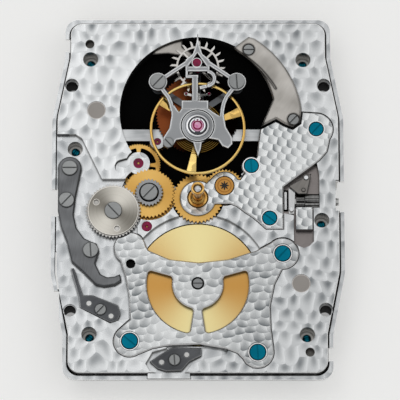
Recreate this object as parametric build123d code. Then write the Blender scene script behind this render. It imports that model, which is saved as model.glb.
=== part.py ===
"""Mechanical watch movement with a one-minute tourbillon, seen from the dial side.

Every length is in millimetres. The origin is the middle of the outline, +X points to three o'clock,
+Y to twelve o'clock and +Z out of the dial side. The lowest face of the back plate is at zero.
Gears are placed from their teeth and modules. Outlines and fastenings were read from the picture:
they are pixel coordinates, turned into places by spot().
"""

import os
from math import atan2, cos, degrees, hypot, pi, radians, sin

from build123d import *

# How the picture was read
axis_px = (197.8, 199.5)
axis_height = -0.225
plate_width_px = 293.0
plate_height_px = 359.8

# How far a level's picture is lifted, in pixels, because the view is tilted
low_lift_px = -0.8
plate_lift_px = 0.8
bridge_lift_px = 1.0
cover_lift_px = 2.0
cage_lift_px = 6.7

# Levels above the back, from the bottom up
back_thickness = 0.80
winding_bottom = 0.86
winding_thickness = 0.24
second_bottom = 1.20
second_thickness = 0.18
fourth_bottom = 1.50
fourth_thickness = 0.20
well_bottom = 1.90
well_thickness = 0.20
flange_bottom = 3.00
flange_top = 3.40
plate_top = 4.00
bridge_top = 4.10
overrun = 0.50

# Fits
running_clearance = 0.03
wheel_clearance = 0.20
inlay_clearance = 0.08
seat_clearance = 0.02

# Bevels of the upper edges
plate_bevel = 0.12
bridge_bevel = 0.12
guard_bevel = 0.14
lever_bevel = 0.09
spring_bevel = 0.06
cage_bevel = 0.07
head_bevel = 0.05

# Plate outline
wide_half_width = 14.65
half_length = 18.625
shoulder_step = 1.25
shoulder_length = 6.30
north_end_length = 4.15
south_end_length = 4.50
corner_radius = 1.25
shoulder_radius = 4.00
rim_width = 0.38
rim_groove = 0.12
rim_groove_depth = 0.25
body_inset = 0.62

# Gear train: teeth, modules and the directions from one arbor to the next
centre_module = 0.1225
centre_teeth = 40
intermediate_teeth = 40
intermediate_direction_deg = 173.9
third_module = 0.1049
intermediate_lower_teeth = 50
third_pinion_teeth = 15
third_direction_deg = 108.6
fourth_module = 0.0804
third_teeth = 54
fourth_pinion_teeth = 20
fourth_direction_deg = 50.3
cage_module = 0.1418
fourth_teeth = 60
cage_pinion_teeth = 9
cage_direction_deg = 34.3
second_module = 0.1725
second_teeth = 60
centre_pinion_teeth = 8
second_direction_deg = 210.0
barrel_module = 0.1804
barrel_teeth = 72
second_pinion_teeth = 14
barrel_direction_deg = -49.1
calendar_module = 0.1122
calendar_teeth = 48
calendar_pinion_teeth = 24
calendar_direction_deg = 208.0
setting_pinion_teeth = 8
setting_direction_deg = 25.0
setting_teeth = 34
setting_module = 0.1100
fixed_module = 0.1057
fixed_teeth = 78
escape_pinion_teeth = 10
winding_module = 0.2000
ratchet_teeth = 62
winding_idler_teeth = 21
crown_teeth = 24
addendum_share = 0.80
dedendum_share = 1.10
arbor_radius = 0.17


def polar(origin, distance, direction_deg):
    """The point at a distance and a direction from another point."""
    turn = radians(direction_deg)
    return (origin[0] + distance * cos(turn), origin[1] + distance * sin(turn))


def spot(pixel, lift_px):
    """The place of a pixel of the picture, on a level whose picture is lifted by lift_px."""
    across = (pixel[0] - axis_px[0]) * 2 * wide_half_width / plate_width_px
    up = (axis_px[1] - pixel[1] - lift_px) * 2 * half_length / plate_height_px
    return (across, up + axis_height)


def reach(module, teeth, mate_teeth):
    """The distance between the arbors of two wheels in mesh."""
    return module * (teeth + mate_teeth) / 2


# Arbor places
centre_place = (0.0, axis_height)
intermediate_place = polar(
    centre_place, reach(centre_module, centre_teeth, intermediate_teeth), intermediate_direction_deg
)
third_place = polar(
    intermediate_place,
    reach(third_module, intermediate_lower_teeth, third_pinion_teeth),
    third_direction_deg,
)
fourth_place = polar(
    third_place, reach(fourth_module, third_teeth, fourth_pinion_teeth), fourth_direction_deg
)
cage_place = polar(fourth_place, reach(cage_module, fourth_teeth, cage_pinion_teeth), cage_direction_deg)
second_place = polar(
    centre_place, reach(second_module, second_teeth, centre_pinion_teeth), second_direction_deg
)
barrel_place = polar(
    second_place, reach(barrel_module, barrel_teeth, second_pinion_teeth), barrel_direction_deg
)
calendar_place = polar(
    intermediate_place,
    reach(calendar_module, calendar_teeth, calendar_pinion_teeth),
    calendar_direction_deg,
)
setting_place = polar(
    centre_place, reach(centre_module, centre_teeth, setting_pinion_teeth), setting_direction_deg
)
escape_place = polar(cage_place, reach(fixed_module, fixed_teeth, escape_pinion_teeth), 90)


def slab(sketch, bottom, top):
    """A flat outline pulled up between two levels."""
    return Pos(0, 0, bottom) * extrude(sketch, amount=top - bottom, dir=(0, 0, 1))


def bevelled(sketch, bottom, top, bevel):
    """A flat outline pulled up between two levels, with its upper edges bevelled."""
    body = slab(sketch, bottom, top)
    return chamfer(body.edges().group_by(Axis.Z)[-1], bevel)


def rod(place, radius, bottom, top, bore=0.0):
    """An upright round bar or tube."""
    ring = Circle(radius) - Circle(bore) if bore else Circle(radius)
    return slab(Pos(place[0], place[1]) * ring, bottom, top)


def lobe(place, radius):
    """A flat disc at a place."""
    return Pos(place[0], place[1]) * Circle(radius)


def outline(pixels, lift_px, radius=0.0):
    """A flat outline from pixels of the picture, with its corners rounded to a radius."""
    points = [spot(pixel, lift_px) for pixel in pixels]
    if radius:
        return make_face(FilletPolyline(*points, radius=radius, close=True))
    return make_face(Polyline(*points, close=True))


def bar(start, end, width):
    """A flat straight bar between two places."""
    length = hypot(end[0] - start[0], end[1] - start[1])
    turn = degrees(atan2(end[1] - start[1], end[0] - start[0]))
    middle = ((start[0] + end[0]) / 2, (start[1] + end[1]) / 2)
    return Pos(*middle) * Rot(0, 0, turn) * Rectangle(length, width)


def mesh_phase(place, teeth, phase, mate_place, mate_teeth):
    """The phase that puts a gap of the mate over a tooth of a wheel whose phase is known."""
    toward = atan2(mate_place[1] - place[1], mate_place[0] - place[0])
    passed = ((toward - phase) * teeth / (2 * pi)) % 1
    return toward + pi - (0.5 - passed) * 2 * pi / mate_teeth


def gear_outline(place, teeth, module, phase):
    """A wheel's toothed outline, two straight flanks to a tooth."""
    pitch_radius = module * teeth / 2
    tip = pitch_radius + addendum_share * module
    root = pitch_radius - dedendum_share * module
    points = []
    for index in range(teeth):
        angle = phase + 2 * pi * index / teeth
        half = pi / teeth
        points.append((place[0] + tip * cos(angle), place[1] + tip * sin(angle)))
        points.append((place[0] + root * cos(angle + half), place[1] + root * sin(angle + half)))
    return make_face(Polyline(*points, close=True))


def gear(place, teeth, module, phase, bottom, top, bore=0.0, windows=None):
    """A flat toothed wheel with its bore and its windows."""
    face = gear_outline(place, teeth, module, phase)
    if bore:
        face -= lobe(place, bore)
    if windows:
        face -= windows
    return slab(face, bottom, top)


def sector_window(place, inner, outer, start_deg, end_deg, radius):
    """A window between two arcs and two straight sides."""
    steps = 7
    sweep = (end_deg - start_deg) / steps
    far = [polar(place, outer, start_deg + sweep * step) for step in range(steps + 1)]
    near = [polar(place, inner, end_deg - sweep * step) for step in range(steps + 1)]
    face = make_face(
        Wire(
            [
                ThreePointArc(far[0], polar(place, outer, (start_deg + end_deg) / 2), far[-1]).edge(),
                Line(far[-1], near[0]).edge(),
                ThreePointArc(near[0], polar(place, inner, (start_deg + end_deg) / 2), near[-1]).edge(),
                Line(near[-1], far[0]).edge(),
            ]
        )
    )
    return fillet(face.vertices(), radius)


def slotted_head(place, radius, bottom, top, slot_deg, slot_width, slot_depth):
    """A round screw head with one slot."""
    head = bevelled(lobe(place, radius), bottom, top, head_bevel)
    slot = Rot(0, 0, slot_deg) * Rectangle(2 * radius + overrun, slot_width)
    return head - slab(Pos(*place) * slot, top - slot_depth, top + overrun)


# Phases of the wheels at rest, each gap over the tooth that it meets
centre_phase = 0.0
intermediate_phase = mesh_phase(
    centre_place, centre_teeth, centre_phase, intermediate_place, intermediate_teeth
)
third_pinion_phase = mesh_phase(
    intermediate_place, intermediate_lower_teeth, 0.0, third_place, third_pinion_teeth
)
fourth_pinion_phase = mesh_phase(third_place, third_teeth, 0.0, fourth_place, fourth_pinion_teeth)
cage_pinion_phase = mesh_phase(fourth_place, fourth_teeth, 0.0, cage_place, cage_pinion_teeth)
centre_pinion_phase = mesh_phase(second_place, second_teeth, 0.0, centre_place, centre_pinion_teeth)
second_pinion_phase = mesh_phase(barrel_place, barrel_teeth, 0.0, second_place, second_pinion_teeth)
calendar_pinion_phase = mesh_phase(
    calendar_place, calendar_teeth, 0.0, intermediate_place, calendar_pinion_teeth
)
setting_pinion_phase = mesh_phase(
    centre_place, centre_teeth, centre_phase, setting_place, setting_pinion_teeth
)
escape_pinion_phase = mesh_phase(cage_place, fixed_teeth, 0.0, escape_place, escape_pinion_teeth)

# Barrel
drum_bottom = 1.50
drum_top = 3.40
drum_wall = 0.25
drum_radius = 6.20
drum_teeth_bottom = 2.00
drum_teeth_top = 2.45
arbor_core_radius = 1.30
spring_thickness = 0.30
spring_turns = 7
spring_share = 0.8
spring_steps = 16
click_pivot_reach = 8.20
click_pivot_deg = -35.0
click_beak_radius = 6.42
click_beak_deg = -48.0
click_lean_deg = 2.0
click_eye_radius = 0.50
click_post_radius = 0.25
barrel_well_radius = 6.95
barrel_ring_radius = 7.20
barrel_ring_floor = 3.45
barrel_lip_bottom = 3.20
barrel_lip_clearance = 0.10
arbor_head_radius = 0.62

# Wheels of the dial side
wheel_bottom = 3.60
wheel_thickness = 0.20
lower_wheel_bottom = 2.95
lower_wheel_thickness = 0.20
dial_pinion_top = 4.24
calendar_bottom = 3.94
calendar_thickness = 0.18
calendar_disc_top = 4.32
calendar_disc_radius = 2.52
wheel_screw_radius = 0.86
wheel_screw_top = 4.48
hub_radius = 0.55
third_bottom = 2.60
third_thickness = 0.18
setting_bottom = 3.05
setting_thickness = 0.18
bush_radius = 0.99
cannon_radius = 0.52
cannon_ring_radius = 0.68
cannon_bore = 0.40
cannon_top = 8.30
cannon_collar_radius = 1.00
centre_boss_radius = 1.80
setting_boss_radius = 1.50

# Jewels
jewel_radius = 0.53
small_jewel_radius = 0.38
jewel_thickness = 0.25
boss_bottom = 3.25
boss_top = 3.48
third_boss_radius = 1.15

third_pocket_radius = third_teeth * fourth_module / 2 + wheel_clearance
third_foot_length = 1.70
third_foot_half_width = 0.65
third_foot_direction_deg = 196.0
jewel_hole_radius = 0.10

# Window and cage
side_arm_px = [(152, 54), (156, 48), (162, 43), (172, 40), (182, 38.5), (182, 47), (188, 50), (193, 54),
               (190, 58), (180, 55), (168, 53)]
side_arm_lift_px = -1.0
side_arm_bottom = 3.15
side_arm_top = 3.50
cage_ear_px = [(157.9, 82.2), (236.8, 82.2)]
cage_head_px = [
    (197.6, 32.9), (198.6, 40), (199.8, 46), (202.4, 54), (209.8, 60), (209.8, 72), (185.2, 72),
    (185.2, 60), (192.6, 54), (195.4, 46), (196.6, 40),
]
cage_head_hole_px = [(197.3, 53.5), (206.3, 66.5), (188.5, 66.5)]
cage_head_link_px = [(188.0, 62), (207.0, 62)]
cage_jewel_px = (196.8, 63.0)
cage_jewel_radius = 0.42
cage_jewel_seat = 0.56
hook_centre_px = (207, 79)
hook_outer = 0.95
hook_inner = 0.55
hook_end_px = [(207, 86.6), (199.5, 88.4)]
cage_stem_px = [(191.8, 75), (198.2, 75), (198.2, 102), (191.8, 102)]
cage_short_bar_px = [(185.2, 75), (198.5, 75), (198.5, 78.6), (185.2, 78.6)]
cage_side_link_px = [(185.2, 68), (188.2, 68), (188.2, 78), (185.2, 78)]
cage_block_px = [(181.3, 101.0), (208.6, 101.0), (208.6, 110), (181.3, 110)]
cage_arm_left_px = [(157.9, 82.2), (163.5, 91.5), (168.3, 97.5), (171.0, 104), (172.8, 112)]
cage_arm_right_px = [(236.8, 82.2), (231.2, 91.5), (226.4, 97.5), (223.6, 104), (222.0, 112)]
cage_body_px = [
    (171, 106), (174.5, 106), (179, 112.5), (181.3, 109), (208.6, 109), (213, 112.5), (219.5, 116.5),
    (220.8, 106), (224.2, 106), (224, 117), (226, 128), (232, 138), (232.5, 145), (228, 149.5),
    (222, 147), (218, 141), (209, 139.5), (202, 143.5), (201, 150), (198.1, 157.8), (195, 150),
    (193, 143.5), (185, 139.5), (176.5, 141), (173.5, 146), (168, 149.5), (163, 146), (163.5, 138),
    (169.3, 129), (171.3, 117),
]
cage_hub_radius = 1.68
cage_hub_px = (197.4, 126.2)
balance_jewel_radius = 0.48
cage_foot_px = (168.4, 143.9)
cage_foot_screw_radius = 0.53
cage_groove_depth = 0.05
window_radius = 7.85
window_offset = 0.20
well_wall = 0.15
beam_bottom = 2.88
beam_top = 3.36
beam_half_width = 0.60
beam_offset = 2.10
fixed_bottom = 3.44
fixed_thickness = 0.18
cage_bottom = 3.82
cage_plate_thickness = 0.20
cage_top_bottom = 6.00
cage_top_thickness = 0.30
cage_screw_radius = 0.80
cage_pillar_radius = 0.45
cage_screw_height = 0.20
escape_bottom = 4.72
escape_thickness = 0.16
escape_tip_radius = 2.85
escape_ring_radius = 2.05
escape_ring_width = 0.22
escape_wheel_teeth = 20
balance_offset = 1.95
balance_radius = 4.81
balance_rim_width = 0.26
balance_bottom = 5.16
balance_thickness = 0.30
hairspring_bottom = 5.62
hairspring_height = 0.16
hairspring_inner = 0.60
hairspring_pitch = 0.33
hairspring_turns = 6
hairspring_width = 0.08
pivot_share = 0.55
wheel_window_share = 0.41
wheel_window_corner = 0.12
second_spokes = 5
third_spokes = 4
spoke_width_deg = 15.0
cage_arm_width = 0.62
cage_lobe_radius = 0.62
cage_ear_radius = 0.95
cage_link_width = 0.44
cage_pinion_bottom = 1.46
cage_pinion_top = 1.74
escape_pinion_bottom = 3.42
escape_pinion_top = 3.66
escape_tooth_deg = 5.0
escape_lean_deg = 4.0
escape_tooth_tip_width = 0.10
escape_spokes = 4
escape_spoke_width = 0.22
balance_spokes = 3
balance_spoke_deg = 22.0
balance_hub_radius = 0.55
balance_spoke_narrow = 0.20
balance_spoke_wide = 1.05
roller_radius = 0.62
roller_bottom = 4.26
roller_thickness = 0.12
impulse_pin_radius = 0.07
impulse_pin_offset = 0.48
lever_drop = 3.08
pallet_bottom = 4.48
pallet_thickness = 0.14
pallet_span_deg = 22.5
pallet_stone_gap = 0.06
pallet_stone_size = 0.20
pallet_arm_width = 0.24
fork_half_width = 0.22
fork_slot_half_width = 0.10
fork_slot_length = 0.26
hub_groove_outer = 1.70
hub_groove_inner = 1.58
hub_ring_radius = 1.03

click_place = polar(barrel_place, click_pivot_reach, click_pivot_deg)
balance_place = polar(cage_place, balance_offset, -90)
pallet_place = polar(escape_place, lever_drop, -90)
window_place = polar(cage_place, window_offset, 90)

# Fasteners: head radius, then the pixel of each
blue_head_radius = 0.72
blue_large_radius = 0.80
blue_seat_radius = 1.00
blue_shank_radius = 0.40
blue_head_height = 0.35
blue_small_px = [(316.7, 129.5), (251.4, 166.5), (269.5, 218.8)]
blue_large_px = [(282.3, 253.8), (257.0, 350.8), (130.4, 339.9)]
deep_hole_radius = 0.76
deep_floor = 1.90
deep_head_radius = 0.42
deep_head_height = 0.25
deep_screw_px = [
    (89.5, 58.7), (304.0, 59.3), (90.2, 333.4), (306.1, 333.9), (74.6, 148.0), (321.5, 220.9),
]
through_hole_radius = 0.60
through_sink_radius = 0.70
through_sink_depth = 0.15
through_side_distance = 1.95
through_north_distance = 7.10
through_south_distance = 6.95
plug_radius = 0.94
plug_depth = 0.60
plug_px = [(95.8, 110.3), (300.5, 283.5)]
foot_hole_radius = 0.46
foot_hole_depth = 0.90
foot_hole_px = [(88.6, 43.0), (308.7, 350.9)]
slot_width = 0.14
slot_depth = 0.10
slot_turn_deg = 47.0
screw_floor = 2.20
deep_shank_radius = 0.25
small_shank_radius = 0.20
stud_radius = 0.34
small_screw_sink = 0.14

# Bridges, outlines in pixels
bridge_bottom = 3.45
barrel_bridge_px = [
    (117, 250), (120, 258.7), (125.6, 275.3), (129.5, 295.7), (130.7, 318.6), (119, 329), (116, 346),
    (128, 355), (140.3, 352.4), (153, 347.3), (169.6, 344.1), (200, 343), (225.5, 347.3), (237, 351.8),
    (243.4, 358.2), (252, 366), (264, 365), (271.5, 356), (272.7, 346.7), (270.2, 327.6), (269.5, 305.9),
    (274, 284.2), (281.6, 269.5), (292, 264), (292, 245), (283, 239), (272.7, 242), (256, 251),
    (228, 259.6), (198.6, 262.7), (170, 259.6), (148.7, 250.8), (143, 240),
]
bridge_lobe_radius = 1.60
bridge_plain_lobe_px = (130.0, 248.0)
bridge_small_hole_px = (131.1, 264.2)
bridge_small_hole_radius = 0.48
bean_inner = 2.55
bean_outer = 5.10
bean_start_deg = 164.0
bean_end_deg = 261.0
bean_corner = 0.35
train_bridge_px = [
    (206, 184), (214, 176), (240, 180), (246, 172), (257, 157), (258.8, 140), (260.8, 128), (270, 119),
    (300, 112), (316, 113), (331, 136), (327.5, 152), (319.5, 161), (283.3, 187.3), (283.3, 229.5),
    (266, 229.5), (254, 219), (245, 213), (237, 207), (230, 204.2), (212, 204.2),
]
train_lobe_radius = 1.70
train_small_lobe_radius = 0.96
train_low_lobe_radius = 1.05
low_area_px = [
    (40, 136), (75, 136), (81.6, 140.3), (102, 181), (126, 181), (138, 200), (138, 318),
    (122, 321), (111, 324.5), (81, 309.5), (40, 309.5),
]

# Curved guard
guard_top = 4.55
guard_start_px = (233.8, 47.2)
guard_peak_px = (249.1, 35.7)
guard_outer_px = [(255, 37.5), (284, 64.5), (302, 108.4)]
guard_end_px = [(300.1, 122.4), (293, 127.5), (285, 124.5), (276.5, 119.3), (261.2, 127.0)]
guard_inner_px = [(273.3, 99.5), (262.5, 74), (238.3, 51)]
guard_slot_px = [(244, 54.8), (262, 70), (276.5, 89.3)]
guard_slot_width = 0.14
guard_screw_px = [(249.1, 49.1), (293.8, 119.9)]
small_screw_radius = 0.56
small_screw_height = 0.18

# Corrector lever and springs
lever_top = 3.95
lever_pivot_px = (69.5, 170.2)
lever_px = [
    (58, 168), (58, 213), (61.5, 229.3), (67.2, 242.8), (72.3, 263.2), (83.8, 273.4), (96.6, 286.1),
    (104.8, 287.7), (115.6, 286.0), (121.9, 282.0), (120.4, 275.8), (115, 278.2), (107.4, 278.8),
    (101, 275.9), (95.6, 265), (97.2, 260), (99.7, 253), (97, 245.5), (90.8, 243.2), (84.4, 240.2),
    (76.8, 230), (73.6, 216.5), (75.8, 197.4), (81, 172),
]
lever_head_radius = 1.18
lever_screw_px = [(66.7, 202.2), (91.1, 252.0)]
lever_screw_radius = 0.76
lever_screw_shank = 0.34
lever_screw_clearance = 0.30
lever_screw_top = 4.16
spring_top = 3.80
jumper_blade_px = [(71.5, 270.0), (74.6, 269.6), (84.4, 298.0), (80.6, 301.0)]
jumper_base_px = [
    (80.0, 300), (84.4, 296.3), (93.4, 296.3), (118.9, 306.3), (121.0, 315), (118, 321.5), (111.2, 323.2),
    (81.3, 309),
]
jumper_screw_px = (101.3, 310.4)
jumper_pin_px = [(89.9, 304.6), (111.9, 317.1)]
barrel_spring_px = [
    (150.4, 361.4), (163.4, 352.7), (173.1, 347.5), (201.3, 348.4), (201.3, 355.4), (189.4, 361.4),
    (181.8, 370), (166.6, 370.6), (158, 367.9),
]
barrel_spring_screw_px = (174.8, 359.7)
barrel_spring_pin_px = [(162.1, 362.2), (186.9, 354.9)]
spring_pin_radius = 0.24
spring_pocket_px = [
    (146, 362), (153, 350.5), (169.6, 346), (206, 345.5), (228, 349), (226, 353), (205, 357.5), (192, 363),
    (184, 373), (163, 373.5), (150, 369),
]

# Keyless works
winding_direction_deg = 42.9
stem_level = 2.70
stem_radius = 0.40
stem_square = 0.52
stem_tail = 0.60
stem_reach = 2.00
stem_bore_radius = 0.44
winding_pinion_radius = 0.72
winding_pinion_length = 1.38
clutch_radius = 0.56
clutch_length = 0.80
clutch_gap = 0.06
stem_pinion_teeth = 14
crown_ring_radius = 2.05
crown_ring_width = 0.30
crown_tooth_height = 0.25
contrate_teeth = 42
contrate_tooth_width = 0.15
ridge_share = 0.86
keyless_floor = 3.05
keyless_px = [
    (283.3, 187.5), (317, 162.5), (319.5, 176), (319.5, 208.5), (313.5, 208.5), (313.5, 242), (309, 246.5),
    (303.5, 248.5), (298, 246.5), (293.5, 242), (293.5, 216), (282, 213.5),
]
setting_lever_px = [(288.6, 188.2), (311.4, 175.5), (307, 196), (298, 196)]
setting_pivot_px = (306.3, 179.7)
setting_pin_px = (303.5, 192.1)
yoke_px = [(288.8, 190), (295.2, 192), (294, 215), (288.8, 215)]
yoke_pivot_px = (291.4, 211.5)
block_px = [(296, 209.4), (312.2, 209.4), (312.2, 231.2), (296, 231.2)]
yoke_bottom = 3.46
yoke_top = 3.57
keyless_part_bottom = 3.60
keyless_part_top = 3.88
keyless_pin_radius = 0.20
keyless_pin_top = 3.96
calendar_hole_radius = 0.28
calendar_hole_polar = [(153.0, 1.90), (-78.0, 1.88)]


def plate_outline(inset):
    """The plate's outline, drawn in from its edge by an inset."""
    wide = wide_half_width - inset
    narrow = wide - shoulder_step
    north = half_length - inset
    south = north
    north_start = half_length - north_end_length
    south_start = half_length - south_end_length
    right = [
        (narrow, north), (narrow, north_start), (wide, north_start - shoulder_length),
        (wide, shoulder_length - south_start), (narrow, -south_start), (narrow, -south),
    ]
    left = [(-x, y) for x, y in reversed(right)]
    face = make_face(Polyline(*right, *left, close=True))
    corners = [v for v in face.vertices() if abs(abs(v.X) - narrow) < running_clearance and (
        abs(v.Y - north) < running_clearance or abs(v.Y + south) < running_clearance)]
    face = fillet(corners, corner_radius)
    shoulders = [v for v in face.vertices() if abs(abs(v.X) - wide) < running_clearance]
    return fillet(shoulders, shoulder_radius)


def notch(start_px, end_px, side):
    """A gap in the rim on one side, between two pixel heights."""
    top = spot((axis_px[0], start_px), low_lift_px)[1]
    bottom = spot((axis_px[0], end_px), low_lift_px)[1]
    inner = wide_half_width - 2 * rim_width - rim_groove
    middle = side * (inner + overrun)
    return Pos(middle, (top + bottom) / 2) * Rectangle(2 * overrun, top - bottom)


rim_notch_left_px = [(190.0, 217.0), (291.0, 320.0)]
stem_notch_px = (182.0, 213.0)
rim_gap_px = [(-1, 37.6, 51.0), (1, 346.7, 360.0)]
rim_tongue_px = (148.5, 190.0)
rim_slit_px = [(55.7, 252.0), (57.2, 252.0), (57.4, 273.0), (59.8, 289.0), (58.0, 289.0), (55.6, 273.0)]

barrel_bridge_spots = [spot(pixel, bridge_lift_px) for pixel in blue_large_px]
train_bridge_spots = [spot(pixel, bridge_lift_px) for pixel in blue_small_px]
deep_spots = [spot(pixel, plate_lift_px) for pixel in deep_screw_px]
plug_spots = [spot(pixel, plate_lift_px) for pixel in plug_px]
foot_spots = [spot(pixel, plate_lift_px) for pixel in foot_hole_px]
through_spots = [
    (side * (wide_half_width - through_side_distance), level)
    for side in (-1, 1)
    for level in (half_length - through_north_distance, through_south_distance - half_length)
]
lever_pivot = spot(lever_pivot_px, low_lift_px)
lever_screws = [spot(pixel, low_lift_px) for pixel in lever_screw_px]
jumper_screw = spot(jumper_screw_px, low_lift_px)
barrel_spring_screw = spot(barrel_spring_screw_px, low_lift_px)
spring_pins = [spot(pixel, low_lift_px) for pixel in jumper_pin_px + barrel_spring_pin_px]
guard_screws = [spot(pixel, cover_lift_px) for pixel in guard_screw_px]
setting_pivot = spot(setting_pivot_px, low_lift_px)
yoke_pivot = spot(yoke_pivot_px, low_lift_px)
idler_place = polar(
    barrel_place, reach(winding_module, ratchet_teeth, winding_idler_teeth), winding_direction_deg
)
crown_place = polar(
    idler_place, reach(winding_module, winding_idler_teeth, crown_teeth), winding_direction_deg
)
stem_offset = crown_place[1]
winding_pinion_start = crown_place[0] + crown_ring_radius - winding_pinion_length / 2
winding_pinion_end = winding_pinion_start + winding_pinion_length
clutch_end = winding_pinion_start - clutch_gap
clutch_start = clutch_end - clutch_length
stem_inner_x = clutch_start - stem_tail
stem_outer_x = winding_pinion_end + stem_reach
idler_phase = mesh_phase(barrel_place, ratchet_teeth, 0.0, idler_place, winding_idler_teeth)
crown_phase = mesh_phase(idler_place, winding_idler_teeth, idler_phase, crown_place, crown_teeth)


def rim_gap(start_px, end_px, side):
    """A gap in the flange beside one end of the plate, between two pixel heights."""
    top = spot((axis_px[0], start_px), low_lift_px)[1]
    bottom = spot((axis_px[0], end_px), low_lift_px)[1]
    inner = wide_half_width - shoulder_step - rim_width - rim_groove
    return Pos(side * (inner + overrun), (top + bottom) / 2) * Rectangle(2 * overrun, top - bottom)


def rim_tongue():
    """The stretch of the lower edge where the raised plate runs out over the flange."""
    start, end = [spot((across_px, axis_px[1]), 0)[0] for across_px in rim_tongue_px]
    inner = half_length - rim_width - rim_groove
    return plate_outline(0) & Pos((start + end) / 2, -inner - overrun) * Rectangle(end - start, 2 * overrun)


def barrel_bridge_outline(gap):
    """The barrel bridge's outline, grown by a gap for the recess that it lies in."""
    face = outline(barrel_bridge_px, bridge_lift_px)
    for place in barrel_bridge_spots + [spot(bridge_plain_lobe_px, bridge_lift_px)]:
        face += lobe(place, bridge_lobe_radius)
    return offset(face, gap) if gap else face


def guard_outline():
    """The guard's outline: an outer arc, a rounded end and an inner arc."""
    outer = [spot(pixel, cover_lift_px) for pixel in guard_outer_px]
    end = [spot(pixel, cover_lift_px) for pixel in guard_end_px]
    inner = [spot(pixel, cover_lift_px) for pixel in guard_inner_px]
    start = spot(guard_start_px, cover_lift_px)
    peak = spot(guard_peak_px, cover_lift_px)
    edges = [
        Line(start, peak).edge(),
        Line(peak, outer[0]).edge(),
        ThreePointArc(*outer).edge(),
        Line(outer[-1], end[0]).edge(),
        *[Line(a, b).edge() for a, b in zip(end[:-1], end[1:])],
        Line(end[-1], inner[0]).edge(),
        ThreePointArc(*inner).edge(),
        Line(inner[-1], start).edge(),
    ]
    return make_face(Wire(edges))


def train_bridge_outline(gap):
    """The train bridge's outline with its lobes and bosses, grown by a gap for its recess."""
    face = outline(train_bridge_px, bridge_lift_px)
    for place, radius in zip(
        train_bridge_spots, (train_lobe_radius, train_small_lobe_radius, train_low_lobe_radius)
    ):
        face += lobe(place, radius)
    face += lobe(centre_place, centre_boss_radius)
    face += lobe(setting_place, setting_boss_radius)
    return offset(face, gap) if gap else face


def base_plate():
    """The main plate: its rim, its raised dial side and every recess that the works lie in."""
    plate = slab(plate_outline(body_inset), back_thickness, flange_bottom)
    plate += slab(plate_outline(0), flange_bottom, flange_top)
    raised = plate_outline(rim_width + rim_groove)
    plate += bevelled(raised, flange_top - rim_groove_depth, plate_top, plate_bevel)
    window_boss = lobe(train_bridge_spots[1], train_small_lobe_radius)
    top = plate_top + overrun
    cuts = [
        slab(plate_outline(rim_width) - raised, flange_top - rim_groove_depth, top),
        slab(outline(rim_slit_px, low_lift_px), flange_bottom, top),
        slab(outline(low_area_px, low_lift_px), flange_top, top),
        rod(barrel_place, barrel_well_radius, 0, barrel_lip_bottom),
        rod(barrel_place, drum_radius + barrel_lip_clearance, 0, top),
        rod(barrel_place, barrel_ring_radius, barrel_ring_floor, top),
        slab(lobe(window_place, window_radius) - window_boss, well_bottom, top),
        rod(third_place, third_pocket_radius, well_bottom, beam_bottom),
        rod(third_place, third_boss_radius + inlay_clearance, beam_bottom, top),
        slab(third_foot(inlay_clearance), boss_bottom, top),
        rod(
            fourth_place, fourth_teeth * cage_module / 2 + 2 * wheel_clearance, 0, well_bottom
        ),
        rod(cage_place, cage_pinion_teeth * cage_module / 2 + wheel_clearance, 0, well_bottom),
        rod(
            second_place,
            second_teeth * second_module / 2 + 2 * wheel_clearance,
            0,
            second_bottom + second_thickness + running_clearance,
        ),
        rod(second_place, second_pinion_teeth * barrel_module / 2 + 2 * wheel_clearance, 0, boss_bottom),
        rod(second_place, arbor_radius + running_clearance, 0, top),
        rod(second_place, jewel_radius, plate_top - jewel_thickness, top),
        rod(centre_place, centre_pinion_teeth * second_module / 2 + wheel_clearance, 0, deep_floor),
        rod(centre_place, arbor_radius + wheel_clearance, 0, top),
        rod(
            centre_place,
            centre_teeth * centre_module / 2 + wheel_clearance,
            wheel_bottom - wheel_clearance / 2,
            top,
        ),
        rod(
            intermediate_place,
            intermediate_lower_teeth * third_module / 2 + wheel_clearance,
            lower_wheel_bottom - wheel_clearance / 2,
            top,
        ),
        rod(
            calendar_place,
            calendar_teeth * calendar_module / 2 + wheel_clearance,
            flange_top,
            top,
        ),
        rod(
            setting_place,
            setting_teeth * setting_module / 2 + wheel_clearance,
            setting_bottom - wheel_clearance / 2,
            top,
        ),
        rod(setting_place, arbor_radius + running_clearance, setting_bottom - hub_radius, top),
        slab(barrel_bridge_outline(inlay_clearance), bridge_bottom, top),
        slab(train_bridge_outline(inlay_clearance) - guard_outline(), bridge_bottom, top),
        slab(outline(keyless_px, plate_lift_px), keyless_floor, top),
        slab(outline(spring_pocket_px, plate_lift_px), flange_top, top),
    ]
    cuts += winding_pockets()
    cuts += fastener_holes()
    cuts += [rod(place, deep_hole_radius, deep_floor, top) for place in deep_spots]
    cuts += [rod(place, through_hole_radius, 0, top) for place in through_spots]
    cuts += [
        rod(place, through_sink_radius, flange_top - through_sink_depth, top) for place in through_spots
    ]
    cuts += [rod(place, plug_radius, plate_top - plug_depth, top) for place in plug_spots]
    cuts += [rod(place, foot_hole_radius, plate_top - foot_hole_depth, top) for place in foot_spots]
    cuts += [
        slab(notch(start, end, -1), 0, top) for start, end in rim_notch_left_px
    ]
    cuts.append(slab(notch(*stem_notch_px, 1), 0, top))
    cuts += [slab(rim_gap(*ends_px, side), flange_bottom, top) for side, *ends_px in rim_gap_px]
    for cut in cuts:
        plate -= cut
    plate += slab(rim_tongue(), flange_bottom, plate_top)
    for place in (setting_pivot, yoke_pivot):
        plate += rod(place, keyless_pin_radius, keyless_floor, keyless_pin_top)
    return plate


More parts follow.
